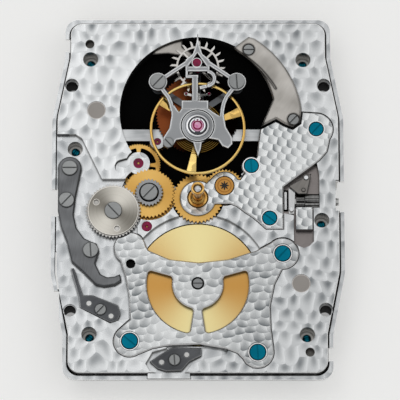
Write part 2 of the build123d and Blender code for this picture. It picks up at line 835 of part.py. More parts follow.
def fastener_holes():
    """The holes that the screws and pins of the main plate go down into."""
    fit = seat_clearance
    holes = [
        rod(place, blue_shank_radius + fit, screw_floor, plate_top)
        for place in barrel_bridge_spots + train_bridge_spots
    ]
    holes += [rod(place, deep_shank_radius + fit, 0, deep_floor) for place in deep_spots]
    holes += [rod(place, small_shank_radius + fit, flange_bottom, plate_top) for place in guard_screws]
    holes += [
        rod(place, small_shank_radius + fit, screw_floor, flange_top)
        for place in (jumper_screw, barrel_spring_screw)
    ]
    holes += [
        rod(place, lever_screw_shank + fit, screw_floor, flange_top)
        for place in lever_screws + [lever_pivot]
    ]
    holes += [rod(place, spring_pin_radius + fit, flange_bottom, flange_top) for place in spring_pins]
    holes += [
        rod(place, stud_radius + fit, screw_floor, flange_top)
        for place in (intermediate_place, calendar_place)
    ]
    return holes


def third_foot(gap):
    """The foot of the third wheel's cock, grown by a gap for the recess that it lies in."""
    foot = polar(third_place, third_foot_length, third_foot_direction_deg)
    shape = bar(third_place, foot, 2 * third_foot_half_width) + lobe(foot, third_foot_half_width)
    return offset(shape, gap) if gap else shape


def winding_pockets():
    """The pockets of the winding wheels, open to the back, and of the stem."""
    depth = winding_bottom + winding_thickness + running_clearance
    pockets = [
        rod(barrel_place, ratchet_teeth * winding_module / 2 + wheel_clearance, 0, depth),
        rod(idler_place, winding_idler_teeth * winding_module / 2 + wheel_clearance, 0, depth),
        rod(crown_place, crown_teeth * winding_module / 2 + wheel_clearance, 0, depth),
    ]
    pockets.append(stem_rod(stem_bore_radius, stem_inner_x, wide_half_width + overrun))
    pockets.append(
        stem_rod(
            winding_pinion_radius + wheel_clearance / 2,
            clutch_start - 2 * wheel_clearance,
            winding_pinion_end + wheel_clearance / 2,
        )
    )
    low = stem_level - winding_pinion_radius
    ring_radius = crown_ring_radius + crown_ring_width + wheel_clearance / 2
    pockets.append(rod(crown_place, ring_radius, 0, low + wheel_clearance / 2))
    pockets.append(slab(offset(click_outline(), wheel_clearance), 0, depth))
    return pockets


def click_outline():
    """The click's outline: an eye on its pivot and a beak that meets the ratchet wheel."""
    beak = polar(barrel_place, click_beak_radius, click_beak_deg)
    side = polar(barrel_place, click_beak_radius + click_eye_radius, click_beak_deg - click_lean_deg)
    shape = make_face(Polyline(click_place, beak, side, close=True))
    return shape + lobe(click_place, click_eye_radius)


def stem_rod(radius, start_x, end_x):
    """A round bar along the stem's axis."""
    bar_face = Circle(radius)
    plane = Plane(origin=(start_x, stem_offset, stem_level), x_dir=(0, 1, 0), z_dir=(1, 0, 0))
    return extrude(plane * bar_face, amount=end_x - start_x)


def back_plate():
    """The thin plate behind the works, with the lower bearings and the posts of the winding wheels."""
    top = back_thickness + overrun
    plate = slab(plate_outline(body_inset), 0, back_thickness)
    for place in (second_place, centre_place, fourth_place, cage_place, barrel_place):
        plate -= rod(place, arbor_radius + running_clearance, back_thickness / 2, top)
    for place in through_spots:
        plate -= rod(place, through_hole_radius, -overrun, top)
    for place in deep_spots:
        plate -= rod(place, deep_shank_radius + seat_clearance, back_thickness / 4, top)
    plate -= slab(notch(*stem_notch_px, 1), -overrun, top)
    for start, end in rim_notch_left_px:
        plate -= slab(notch(start, end, -1), -overrun, top)
    wheel_top = winding_bottom + winding_thickness
    for place in (idler_place, crown_place):
        plate += rod(place, stud_radius, back_thickness, wheel_top)
    return plate + rod(click_place, click_post_radius, back_thickness, wheel_top)


def tourbillon_well():
    """The blackened floor and wall of the window, with the third arbor's lower bearing."""
    radius = window_radius - seat_clearance
    top = well_bottom + well_thickness
    boss = lobe(train_bridge_spots[1], train_small_lobe_radius + seat_clearance)
    third = lobe(third_place, third_pocket_radius - seat_clearance)
    ring = lobe(window_place, radius) - lobe(window_place, radius - well_wall)
    well = slab(lobe(window_place, radius) + third - boss, well_bottom, top)
    well += slab(ring - boss - lobe(third_place, third_pocket_radius), top, beam_bottom - seat_clearance)
    for place in (cage_place, fourth_place):
        well -= rod(place, arbor_radius + wheel_clearance, 0, plate_top)
    return well - rod(third_place, arbor_radius, top - jewel_thickness / 2, plate_top)


def cage_lower_bridge():
    """The straight beam across the window that carries the cage's bearing and the fixed wheel."""
    level = cage_place[1] - beam_offset
    radius = window_radius - seat_clearance
    beam = Pos(window_place[0], level) * Rectangle(2 * radius, 2 * beam_half_width)
    beam = beam & lobe(window_place, radius)
    beam += lobe(cage_place, third_boss_radius)
    beam += bar(cage_place, (cage_place[0], level), 2 * third_boss_radius)
    beam += lobe(fourth_place, 2 * small_jewel_radius)
    bridge = slab(beam, beam_bottom, beam_top)
    bridge += rod(cage_place, third_boss_radius, beam_top, fixed_bottom)
    bridge += rod(cage_place, hub_radius, fixed_bottom, fixed_bottom + fixed_thickness)
    bridge -= rod(cage_place, arbor_radius + running_clearance, 0, plate_top)
    bridge -= rod(fourth_place, small_jewel_radius, beam_top - jewel_thickness, plate_top)
    return bridge - rod(fourth_place, arbor_radius + running_clearance, 0, plate_top)


def side_arm():
    """The curved steel arm inside the window."""
    arm = outline(side_arm_px, side_arm_lift_px) & lobe(window_place, window_radius - seat_clearance)
    return slab(arm, side_arm_bottom, side_arm_top)


def third_cock():
    """The low cock whose boss holds the third wheel's upper jewel."""
    cock = slab(third_foot(0) + lobe(third_place, third_boss_radius), boss_bottom, boss_top)
    cock -= rod(third_place, jewel_radius, boss_top - jewel_thickness / 2, plate_top)
    return cock - rod(third_place, arbor_radius + running_clearance, 0, plate_top)


def screws(places, head_radius, top, height, shank_radius, bottom, slot_deg):
    """A group of like slotted screws, each a solid of its own."""
    group = []
    for index, place in enumerate(places):
        turn = slot_deg + index * slot_turn_deg
        head = slotted_head(place, head_radius, top - height, top, turn, slot_width, slot_depth)
        group.append(head + rod(place, shank_radius, bottom, top - height))
    return group


def barrel_bridge():
    """The bridge over the barrel: four lobes, two bean windows and the arbor's bearing."""
    face = barrel_bridge_outline(0)
    face -= sector_window(barrel_place, bean_inner, bean_outer, bean_start_deg, bean_end_deg, bean_corner)
    start, end = 180 - bean_end_deg, 180 - bean_start_deg
    face -= sector_window(barrel_place, bean_inner, bean_outer, start, end, bean_corner)
    bridge = bevelled(face, bridge_bottom, bridge_top, bridge_bevel)
    for place, radius in (
        (barrel_place, arbor_head_radius + running_clearance),
        (spot(bridge_small_hole_px, bridge_lift_px), bridge_small_hole_radius),
        (calendar_place, calendar_teeth * calendar_module / 2 + wheel_clearance),
    ):
        bridge -= rod(place, radius, 0, bridge_top + overrun)
    for place in barrel_bridge_spots:
        bridge -= rod(place, blue_seat_radius, bridge_top - blue_head_height, bridge_top + overrun)
        bridge -= rod(place, blue_shank_radius + seat_clearance, 0, bridge_top)
    return bridge


def train_bridge():
    """The bridge over the centre and setting wheels, with its bush and screw seats."""
    face = train_bridge_outline(0) - offset(guard_outline(), inlay_clearance)
    bridge = bevelled(face, bridge_bottom, bridge_top, bridge_bevel)
    bridge -= rod(centre_place, cannon_collar_radius + inlay_clearance, 0, bridge_top + overrun)
    bridge -= rod(setting_place, bush_radius + seat_clearance, 0, bridge_top + overrun)
    wheel_top = wheel_bottom + wheel_thickness + inlay_clearance
    bridge -= rod(centre_place, centre_teeth * centre_module / 2 + wheel_clearance, 0, wheel_top)
    bridge -= rod(setting_place, bush_radius + wheel_clearance, 0, wheel_top)
    for place in train_bridge_spots:
        head = blue_head_radius + running_clearance
        bridge -= rod(place, head, bridge_top - blue_head_height, bridge_top + overrun)
        bridge -= rod(place, blue_shank_radius + seat_clearance, 0, bridge_top)
    return bridge


def guard():
    """The curved steel guard beside the window, with its fine slot and two screw seats."""
    body = bevelled(guard_outline(), plate_top, guard_top, guard_bevel)
    for place in guard_screws:
        seat = guard_top - small_screw_sink
        body -= rod(place, small_screw_radius + seat_clearance, seat, guard_top + overrun)
        body -= rod(place, small_shank_radius + seat_clearance, 0, guard_top)
    arc = ThreePointArc(*[spot(pixel, cover_lift_px) for pixel in guard_slot_px])
    groove = trace(arc, line_width=guard_slot_width)
    return body - slab(groove, guard_top - slot_depth, guard_top + overrun)


def spring_plate(pixels, screw_place, pin_places, blade_px=None):
    """A flat steel spring with its screw hole, its pin holes and its blade."""
    face = outline(pixels, low_lift_px)
    if blade_px:
        face += outline(blade_px, low_lift_px)
    spring = bevelled(face, flange_top, spring_top, spring_bevel)
    spring -= rod(screw_place, small_shank_radius + seat_clearance, 0, plate_top)
    for place in pin_places:
        spring -= rod(place, spring_pin_radius + seat_clearance, 0, plate_top)
    return spring


def corrector_lever():
    """The long curved lever of the calendar corrector, with clearance round its two hold-down screws."""
    face = outline(lever_px, low_lift_px) + lobe(lever_pivot, lever_head_radius)
    lever = bevelled(face, flange_top, lever_top, lever_bevel)
    lever -= rod(lever_pivot, lever_screw_shank + running_clearance, 0, plate_top)
    for place in lever_screws:
        lever -= rod(place, lever_screw_shank + lever_screw_clearance, 0, plate_top)
    return lever


def arbor(place, bottom, top, radius=arbor_radius):
    """A plain arbor with a thinner pivot at each end."""
    pivot = radius * pivot_share
    ends = rod(place, pivot, bottom, bottom + radius) + rod(place, pivot, top - radius, top)
    return rod(place, radius, bottom + radius, top - radius) + ends


def spoke_windows(place, inner, outer, count, start_deg):
    """The windows between a wheel's spokes."""
    step = 360 / count
    windows = Sketch()
    for index in range(count):
        begin = start_deg + index * step + spoke_width_deg / 2
        end = begin + step - spoke_width_deg
        windows += sector_window(place, inner, outer, begin, end, wheel_window_corner)
    return windows


def pinioned(place, leaves, module, phase, bottom, top, arbor_bottom, arbor_top):
    """An arbor with a pinion cut on it, a little taller than the wheel that it meets."""
    pinion = gear(place, leaves, module, phase, bottom - running_clearance, top + running_clearance)
    return arbor(place, arbor_bottom, arbor_top) + pinion


def spoked_gear(place, teeth, module, bottom, thickness, spokes):
    """A flat wheel with windows between its spokes, bored for its arbor."""
    windows = spoke_windows(place, 2 * hub_radius, teeth * module * wheel_window_share, spokes, 0)
    return gear(place, teeth, module, 0, bottom, bottom + thickness, arbor_radius + seat_clearance, windows)


def barrel_nodes():
    """The drum, its spring, the arbor through it and the ratchet wheel behind it."""
    inside = drum_radius - drum_wall
    drum = gear(barrel_place, barrel_teeth, barrel_module, 0, drum_teeth_bottom, drum_teeth_top, inside)
    drum += rod(barrel_place, drum_radius, drum_bottom, drum_top)
    drum -= rod(barrel_place, inside, drum_bottom + drum_wall, drum_top - drum_wall)
    drum -= rod(barrel_place, stud_radius + running_clearance, 0, drum_top + overrun)
    clear = drum_wall + running_clearance
    core = rod(barrel_place, arbor_core_radius, drum_bottom + clear, drum_top - clear)
    core += rod(barrel_place, stud_radius, winding_bottom, bridge_bottom)
    core += rod(barrel_place, arbor_radius, back_thickness / 2, winding_bottom)
    head = slotted_head(
        barrel_place, arbor_head_radius, bridge_bottom, bridge_top, 0, slot_width, slot_depth
    )
    spring = coil(
        barrel_place,
        arbor_core_radius + running_clearance,
        inside - spring_thickness,
        spring_turns,
        spring_thickness * spring_share,
        drum_bottom + 2 * drum_wall,
        drum_top - 2 * drum_wall,
        spring_steps,
    )
    ratchet = gear(
        barrel_place, ratchet_teeth, winding_module, 0, winding_bottom,
        winding_bottom + winding_thickness, stud_radius + seat_clearance,
    )
    return {
        "barrel_drum": drum, "mainspring": spring, "barrel_arbor": core + head, "ratchet_wheel": ratchet,
    }


def coil(place, inner, outer, turns, width, bottom, top, steps):
    """A flat strip wound in a spiral, straight from step to step."""
    near, far = [], []
    total = turns * steps
    for index in range(total + 1):
        angle = 2 * pi * index / steps
        radius = inner + (outer - inner) * index / total
        near.append((place[0] + radius * cos(angle), place[1] + radius * sin(angle)))
        radius += width
        far.append((place[0] + radius * cos(angle), place[1] + radius * sin(angle)))
    return slab(make_face(Polyline(*near, *reversed(far), close=True)), bottom, top)


def second_wheel():
    """The second wheel and its arbor, whose pinion the barrel drives."""
    wheel = spoked_gear(
        second_place, second_teeth, second_module, second_bottom, second_thickness, second_spokes
    )
    staff = pinioned(
        second_place, second_pinion_teeth, barrel_module, second_pinion_phase, drum_teeth_bottom,
        drum_teeth_top, back_thickness / 2, plate_top - jewel_thickness / 2,
    )
    return [wheel, staff]


def centre_nodes():
    """The centre arbor, the wheel on it and the cannon pinion that carries the minute hand."""
    wheel_top = wheel_bottom + wheel_thickness
    stem = rod(centre_place, arbor_radius, back_thickness, cannon_top - cannon_radius)
    stem += rod(centre_place, arbor_radius * pivot_share, back_thickness / 2, back_thickness)
    stem += gear(
        centre_place, centre_pinion_teeth, second_module, centre_pinion_phase,
        second_bottom - running_clearance, second_bottom + second_thickness + running_clearance,
    )
    wheel = gear(
        centre_place, centre_teeth, centre_module, centre_phase, wheel_bottom, wheel_top,
        arbor_radius + seat_clearance,
    )
    tube = rod(centre_place, cannon_radius, wheel_top, cannon_top)
    tube += rod(centre_place, cannon_collar_radius, wheel_top, bridge_top - running_clearance)
    tube += rod(centre_place, cannon_ring_radius, cannon_top - cannon_radius, cannon_top)
    tube -= rod(centre_place, cannon_bore, cannon_top - cannon_radius, cannon_top + overrun)
    tube -= rod(centre_place, arbor_radius + seat_clearance, 0, cannon_top)
    return {"centre_arbor": stem, "centre_wheel": wheel, "cannon_pinion": tube}


def intermediate_nodes():
    """The three wheels that turn together on the intermediate stud."""
    bore = stud_radius + running_clearance
    wheel_top = wheel_bottom + wheel_thickness
    lower_top = lower_wheel_bottom + lower_wheel_thickness
    wheel = gear(
        intermediate_place, intermediate_teeth, centre_module, intermediate_phase, wheel_bottom,
        wheel_top, hub_radius + seat_clearance,
    )
    lower = gear(
        intermediate_place, intermediate_lower_teeth, third_module, 0, lower_wheel_bottom, lower_top,
        hub_radius + seat_clearance,
    )
    pinion = rod(intermediate_place, hub_radius, lower_wheel_bottom, wheel_top, bore)
    pinion += rod(intermediate_place, 2 * hub_radius, lower_top, wheel_bottom, bore)
    pinion += gear(
        intermediate_place, calendar_pinion_teeth, calendar_module, calendar_pinion_phase, wheel_top,
        dial_pinion_top, bore,
    )
    return {"intermediate_wheel": wheel, "intermediate_lower_wheel": lower, "intermediate_pinion": pinion}


def calendar_nodes():
    """The calendar wheel and the steel disc on it, with its two small holes."""
    bore = stud_radius + running_clearance
    disc_bottom = calendar_bottom + calendar_thickness
    wheel = gear(
        calendar_place, calendar_teeth, calendar_module, 0, calendar_bottom, disc_bottom,
        hub_radius + seat_clearance,
    )
    disc = rod(calendar_place, calendar_disc_radius, disc_bottom, calendar_disc_top, bore)
    disc += rod(calendar_place, hub_radius, calendar_bottom, disc_bottom, bore)
    disc += rod(calendar_place, 2 * hub_radius, flange_top + running_clearance, calendar_bottom, bore)
    for turn, distance in calendar_hole_polar:
        place = polar(calendar_place, distance, turn)
        disc -= rod(place, calendar_hole_radius, disc_bottom, calendar_disc_top + overrun)
    return {"calendar_wheel": wheel, "calendar_disc": disc}


def wheel_screws():
    """The two shoulder screws that hold the intermediate and calendar wheels on their studs."""
    group = []
    tops = (dial_pinion_top, calendar_disc_top)
    turns = (slot_turn_deg, -slot_turn_deg)
    for place, wheel_top, turn in zip((intermediate_place, calendar_place), tops, turns):
        under = wheel_top + running_clearance
        head = slotted_head(
            place, wheel_screw_radius, under, wheel_screw_top, turn, slot_width, slot_depth
        )
        group.append(head + rod(place, stud_radius, screw_floor, under))
    return group


def third_wheel():
    """The third wheel, which reaches into the window, and its arbor."""
    wheel = spoked_gear(third_place, third_teeth, fourth_module, third_bottom, third_thickness, third_spokes)
    staff = pinioned(
        third_place, third_pinion_teeth, third_module, third_pinion_phase, lower_wheel_bottom,
        lower_wheel_bottom + lower_wheel_thickness, well_bottom + well_thickness - jewel_thickness / 2,
        boss_top - jewel_thickness / 4,
    )
    return [wheel, staff]


def fourth_wheel():
    """The fourth wheel, under the window's floor, and its arbor."""
    wheel = spoked_gear(
        fourth_place, fourth_teeth, cage_module, fourth_bottom, fourth_thickness, second_spokes
    )
    staff = pinioned(
        fourth_place, fourth_pinion_teeth, fourth_module, fourth_pinion_phase, third_bottom,
        third_bottom + third_thickness, back_thickness / 2, beam_top - jewel_thickness / 2,
    )
    return [wheel, staff]


def setting_wheel():
    """The small wheel of the setting train and its arbor, which runs in the bronze bush."""
    wheel = gear(
        setting_place, setting_teeth, setting_module, 0, setting_bottom, setting_bottom + setting_thickness,
        arbor_radius + seat_clearance,
    )
    staff = pinioned(
        setting_place, setting_pinion_teeth, centre_module, setting_pinion_phase, wheel_bottom,
        wheel_bottom + wheel_thickness, setting_bottom - hub_radius, bridge_top,
    )
    return [wheel, staff]


def strip(places, width):
    """The flat bars and round joints of a strip along a line of places."""
    bars = [bar(start, end, width) for start, end in zip(places[:-1], places[1:])]
    return bars + [lobe(place, width / 2) for place in places[1:-1]]


def cage_spots(pixels):
    """The places of pixels on the cage's upper level."""
    return [spot(pixel, cage_lift_px) for pixel in pixels]


def cage_plate():
    """The cage's lower plate: a hub, two arms to the pillars and an arm under the escape wheel."""
    ears = cage_spots(cage_ear_px)
    face = lobe(cage_place, third_boss_radius) + lobe(balance_place, cage_lobe_radius)
    for place in ears + [escape_place]:
        face += bar(cage_place, place, cage_arm_width) + lobe(place, cage_lobe_radius)
    face += bar(cage_place, balance_place, cage_arm_width) + lobe(pallet_place, cage_lobe_radius)
    for place in (escape_place, balance_place, pallet_place):
        face -= lobe(place, small_jewel_radius + seat_clearance)
    return slab(face, cage_bottom, cage_bottom + cage_plate_thickness)


def cage_arbor():
    """The cage's arbor, with the pinion that the fourth wheel drives."""
    stem = rod(cage_place, arbor_radius, back_thickness, cage_bottom)
    stem += rod(cage_place, arbor_radius * pivot_share, back_thickness / 2, back_thickness)
    return stem + gear(
        cage_place, cage_pinion_teeth, cage_module, cage_pinion_phase, cage_pinion_bottom, cage_pinion_top
    )


def cage_pillars():
    """The two pillars between the cage's plate and its bridge, each bored for its screw."""
    bottom = cage_bottom + cage_plate_thickness
    bore = small_shank_radius + seat_clearance
    return [
        rod(place, cage_pillar_radius, bottom, cage_top_bottom)
        - rod(place, bore, cage_top_bottom - 2 * hub_radius, cage_top_bottom)
        for place in cage_spots(cage_ear_px)
    ]


def cage_head():
    """The flat shapes of the bridge's pointed head, its hook, its stem and its cross bars."""
    hook = spot(hook_centre_px, cage_lift_px)
    ring = lobe(hook, hook_outer) - lobe(hook, hook_inner)
    ring -= Pos(hook[0] - hook_outer, hook[1]) * Rectangle(2 * hook_outer, 2 * hook_outer)
    shapes = [outline(cage_head_px, cage_lift_px) - outline(cage_head_hole_px, cage_lift_px), ring]
    shapes.append(lobe(spot(cage_jewel_px, cage_lift_px), cage_jewel_seat))
    shapes += strip(cage_spots(hook_end_px), hook_outer - hook_inner)
    for pixels in (cage_stem_px, cage_short_bar_px, cage_side_link_px, cage_block_px):
        shapes.append(outline(pixels, cage_lift_px))
    return shapes


def cage_bridge():
    """The cage's openworked upper bridge, from its pointed head to its two feet."""
    shapes = cage_head() + [outline(cage_body_px, cage_lift_px)]
    ears = cage_spots(cage_ear_px)
    for place, link in zip(ears, cage_spots(cage_head_link_px)):
        shapes += [lobe(place, cage_ear_radius), bar(place, link, cage_link_width)]
    for pixels in (cage_arm_left_px, cage_arm_right_px):
        shapes += strip(cage_spots(pixels), cage_link_width)
    shapes.append(lobe(spot(cage_hub_px, cage_lift_px), cage_hub_radius))
    top = cage_top_bottom + cage_top_thickness
    bridge = bevelled(shapes[0], cage_top_bottom, top, cage_bevel)
    for shape in shapes[1:]:
        bridge += bevelled(shape, cage_top_bottom, top, cage_bevel)
    bridge -= rod(spot(cage_jewel_px, cage_lift_px), cage_jewel_radius + seat_clearance, 0, top + overrun)
    bridge -= rod(balance_place, balance_jewel_radius + seat_clearance, 0, top + overrun)
    for place in ears + [spot(cage_foot_px, cage_lift_px)]:
        bridge -= rod(place, small_shank_radius + seat_clearance, 0, top + overrun)
    for radius, width in (
        (hub_groove_outer, hub_groove_outer - hub_groove_inner), (hub_ring_radius, inlay_clearance),
    ):
        bridge -= rod(balance_place, radius, top - cage_groove_depth, top + overrun, radius - width)
    return bridge


def cage_screws():
    """The two ear screws and the small screw of the left foot."""
    under = cage_top_bottom + cage_top_thickness
    top = under + cage_screw_height
    bottom = cage_top_bottom - hub_radius
    group = screws(
        cage_spots(cage_ear_px), cage_screw_radius, top, cage_screw_height, small_shank_radius, bottom,
        slot_turn_deg,
    )
    foot = [spot(cage_foot_px, cage_lift_px)]
    return group + screws(
        foot, cage_foot_screw_radius, top, cage_screw_height, small_shank_radius, cage_top_bottom,
        -slot_turn_deg,
    )


def jewel(place, radius, bottom, top, bore):
    """A round jewel with its bearing hole."""
    return rod(place, radius, bottom, top, bore)


def cage_jewels():
    """The jewels of the escape arbor, the pallet lever and the balance staff."""
    low, high = cage_bottom, cage_bottom + cage_plate_thickness
    under, top = cage_top_bottom, cage_top_bottom + cage_top_thickness
    head = spot(cage_jewel_px, cage_lift_px)
    return [
        jewel(escape_place, small_jewel_radius, low, high, arbor_radius + running_clearance),
        rod(pallet_place, small_jewel_radius, low, high),
        rod(balance_place, small_jewel_radius, low, high),
        rod(head, cage_jewel_radius, under, top),
        rod(balance_place, balance_jewel_radius, under, top + cage_screw_height),
    ]


def escape_wheel():
    """The escape wheel: twenty raked pointed teeth on a thin rim with four spokes."""
    points = []
    root = escape_ring_radius + escape_ring_width / 2
    step = 360 / escape_wheel_teeth
    for index in range(escape_wheel_teeth):
        start = index * step
        back = degrees(escape_tooth_tip_width / escape_tip_radius)
        points.append(polar(escape_place, root, start))
        points.append(polar(escape_place, escape_tip_radius, start + escape_lean_deg + back))
        points.append(polar(escape_place, escape_tip_radius, start + escape_lean_deg + 2 * back))
        points.append(polar(escape_place, root, start + escape_tooth_deg))
    face = make_face(Polyline(*points, close=True))
    face -= lobe(escape_place, escape_ring_radius - escape_ring_width / 2)
    for index in range(escape_spokes):
        end = polar(escape_place, escape_ring_radius, 360 * index / escape_spokes + slot_turn_deg)
        face += bar(escape_place, end, escape_spoke_width)
    face += lobe(escape_place, hub_radius)
    face -= lobe(escape_place, arbor_radius + seat_clearance)
    return slab(face, escape_bottom, escape_bottom + escape_thickness)


def escape_arbor():
    """The escape arbor; its pinion hangs below the cage's plate and rolls round the fixed wheel."""
    pinion = gear(
        escape_place, escape_pinion_teeth, fixed_module, escape_pinion_phase, escape_pinion_bottom,
        escape_pinion_top,
    )
    top = cage_top_bottom - running_clearance
    return pinion + rod(escape_place, arbor_radius, escape_pinion_bottom, top)


def pallet_stone_places():
    """The places of the two pallet stones, just outside the escape wheel's tip circle."""
    distance = escape_tip_radius + pallet_stone_gap + pallet_stone_size / 2
    return [polar(escape_place, distance, -90 + side * pallet_span_deg) for side in (-1, 1)]


def pallet_lever():
    """The pallet lever: two arms to the stones, and a fork that takes the impulse pin."""
    stones = pallet_stone_places()
    fork_end = (balance_place[0], balance_place[1] + impulse_pin_offset - impulse_pin_radius)
    face = lobe(pallet_place, small_jewel_radius)
    for place in stones:
        face += bar(pallet_place, place, pallet_arm_width) + lobe(place, pallet_stone_size)
    face += bar(pallet_place, fork_end, 2 * fork_half_width)
    slot = Rectangle(2 * fork_slot_half_width, 2 * fork_slot_length)
    face -= Pos(*fork_end) * slot
    top = pallet_bottom + pallet_thickness
    lever = slab(face, pallet_bottom, top)
    pivot_bottom = cage_bottom + cage_plate_thickness + running_clearance
    lever += rod(pallet_place, arbor_radius, pivot_bottom, pallet_bottom)
    return lever


def pallet_stones():
    """The two ruby pallet stones, standing on the lever's arms."""
    top = pallet_bottom + pallet_thickness
    stones = []
    for index, place in enumerate(pallet_stone_places()):
        turn = pallet_span_deg * (2 * index - 1)
        square = Pos(*place) * Rot(0, 0, turn) * Rectangle(pallet_stone_size, pallet_stone_size)
        stones.append(slab(square, top, escape_bottom + escape_thickness))
    return stones


def balance_wheel():
    """The balance: a plain rim with three spokes that widen towards it."""
    inner = balance_radius - balance_rim_width
    face = lobe(balance_place, balance_radius) - lobe(balance_place, inner)
    for index in range(balance_spokes):
        turn = balance_spoke_deg + 360 * index / balance_spokes
        near = polar(balance_place, balance_hub_radius / 2, turn)
        far = polar(balance_place, inner + balance_rim_width / 2, turn)
        face += make_face(
            Polyline(
                polar(near, balance_spoke_narrow / 2, turn + 90),
                polar(far, balance_spoke_wide / 2, turn + 90),
                polar(far, balance_spoke_wide / 2, turn - 90),
                polar(near, balance_spoke_narrow / 2, turn - 90),
                close=True,
            )
        )
    face += lobe(balance_place, balance_hub_radius)
    face -= lobe(balance_place, arbor_radius + seat_clearance)
    return slab(face, balance_bottom, balance_bottom + balance_thickness)


def balance_staff():
    """The balance staff, with its roller and its impulse pin."""
    bottom = cage_bottom + cage_plate_thickness + running_clearance
    staff = rod(balance_place, arbor_radius, bottom, cage_top_bottom - running_clearance)
    staff += rod(balance_place, roller_radius, roller_bottom, roller_bottom + roller_thickness)
    pin = (balance_place[0], balance_place[1] + impulse_pin_offset)
    return staff + rod(pin, impulse_pin_radius, roller_bottom, pallet_bottom + pallet_thickness)


def hairspring():
    """The balance's flat spiral spring and its collet."""
    outer = hairspring_inner + hairspring_pitch * hairspring_turns
    top = hairspring_bottom + hairspring_height
    spring = coil(
        balance_place, hairspring_inner, outer, hairspring_turns, hairspring_width, hairspring_bottom,
        top, spring_steps,
    )
    collet = hairspring_inner + hairspring_width / 2
    return spring + rod(balance_place, collet, hairspring_bottom, top, arbor_radius + seat_clearance)


def keyless_nodes():
    """The stem, the two pinions on it, the setting lever, the yoke and the block beside them."""
    square = Pos(0, 0) * Rectangle(stem_square, stem_square)
    plane = Plane(origin=(stem_inner_x, stem_offset, stem_level), x_dir=(0, 1, 0), z_dir=(1, 0, 0))
    stem = extrude(plane * square, amount=winding_pinion_start - stem_inner_x)
    stem += stem_rod(stem_radius, winding_pinion_start, stem_outer_x)
    gap = running_clearance
    pinion = stem_gear(winding_pinion_radius, winding_pinion_start, winding_pinion_end)
    pinion -= stem_rod(stem_radius + gap, winding_pinion_start - overrun, winding_pinion_end + overrun)
    hole = Rectangle(stem_square + 2 * gap, stem_square + 2 * gap)
    clutch = stem_gear(clutch_radius, clutch_start, clutch_end)
    clutch -= extrude(plane * hole, amount=winding_pinion_start - stem_inner_x)
    keyless = {"winding_stem": stem, "winding_pinion": pinion, "sliding_clutch": clutch}
    bore = keyless_pin_radius + running_clearance
    lever = slab(outline(setting_lever_px, low_lift_px), keyless_part_bottom, keyless_part_top)
    lever += rod(setting_pivot, 2 * keyless_pin_radius, keyless_part_bottom, keyless_part_top)
    lever -= rod(setting_pivot, bore, 0, plate_top)
    lever += rod(spot(setting_pin_px, low_lift_px), keyless_pin_radius, keyless_part_bottom, keyless_pin_top)
    yoke = slab(outline(yoke_px, low_lift_px), yoke_bottom, yoke_top)
    yoke -= rod(yoke_pivot, bore, 0, plate_top)
    block = slab(outline(block_px, low_lift_px), keyless_floor, keyless_part_top)
    keyless.update({"setting_lever": lever, "yoke": yoke, "setting_block": block})
    return keyless


def stem_gear(radius, start_x, end_x):
    """A ridged pinion along the stem's axis."""
    points = []
    for index in range(stem_pinion_teeth):
        angle = 2 * pi * index / stem_pinion_teeth
        half = pi / stem_pinion_teeth
        root = radius * ridge_share
        points.append((radius * cos(angle), radius * sin(angle)))
        points.append((root * cos(angle + half), root * sin(angle + half)))
    plane = Plane(origin=(start_x, stem_offset, stem_level), x_dir=(0, 1, 0), z_dir=(1, 0, 0))
    return extrude(plane * make_face(Polyline(*points, close=True)), amount=end_x - start_x)


def winding_nodes():
    """The crown wheel, the wheel between it and the ratchet, and the click."""
    top = winding_bottom + winding_thickness
    bore = stud_radius + running_clearance
    crown = gear(
        crown_place, crown_teeth, winding_module, crown_phase, winding_bottom, top, bore
    )
    ring_top = stem_level - winding_pinion_radius
    ring_outer = crown_ring_radius + crown_ring_width
    crown += rod(crown_place, ring_outer, top, ring_top - crown_tooth_height, crown_ring_radius)
    step = 360 / contrate_teeth
    ring = lobe(crown_place, ring_outer) - lobe(crown_place, crown_ring_radius)
    teeth = Sketch()
    for index in range(contrate_teeth):
        teeth += bar(crown_place, polar(crown_place, 2 * ring_outer, index * step), contrate_tooth_width)
    crown += slab(ring & teeth, ring_top - crown_tooth_height, ring_top - running_clearance)
    idler = gear(
        idler_place, winding_idler_teeth, winding_module, idler_phase, winding_bottom, top, bore
    )
    click = slab(click_outline(), winding_bottom, top)
    click -= rod(click_place, click_post_radius + running_clearance, 0, top + overrun)
    return {"crown_wheel": crown, "winding_wheel": idler, "click": click}


def fixed_jewels():
    """The jewels set in the plate, the third wheel's cock and the beam."""
    bore = jewel_hole_radius + running_clearance
    bottom = plate_top - jewel_thickness
    return [
        jewel(second_place, jewel_radius - seat_clearance, bottom, plate_top, bore),
        jewel(third_place, jewel_radius - seat_clearance, boss_top - jewel_thickness / 2, boss_top, bore),
        jewel(fourth_place, small_jewel_radius - seat_clearance, beam_top - jewel_thickness, beam_top, bore),
    ]


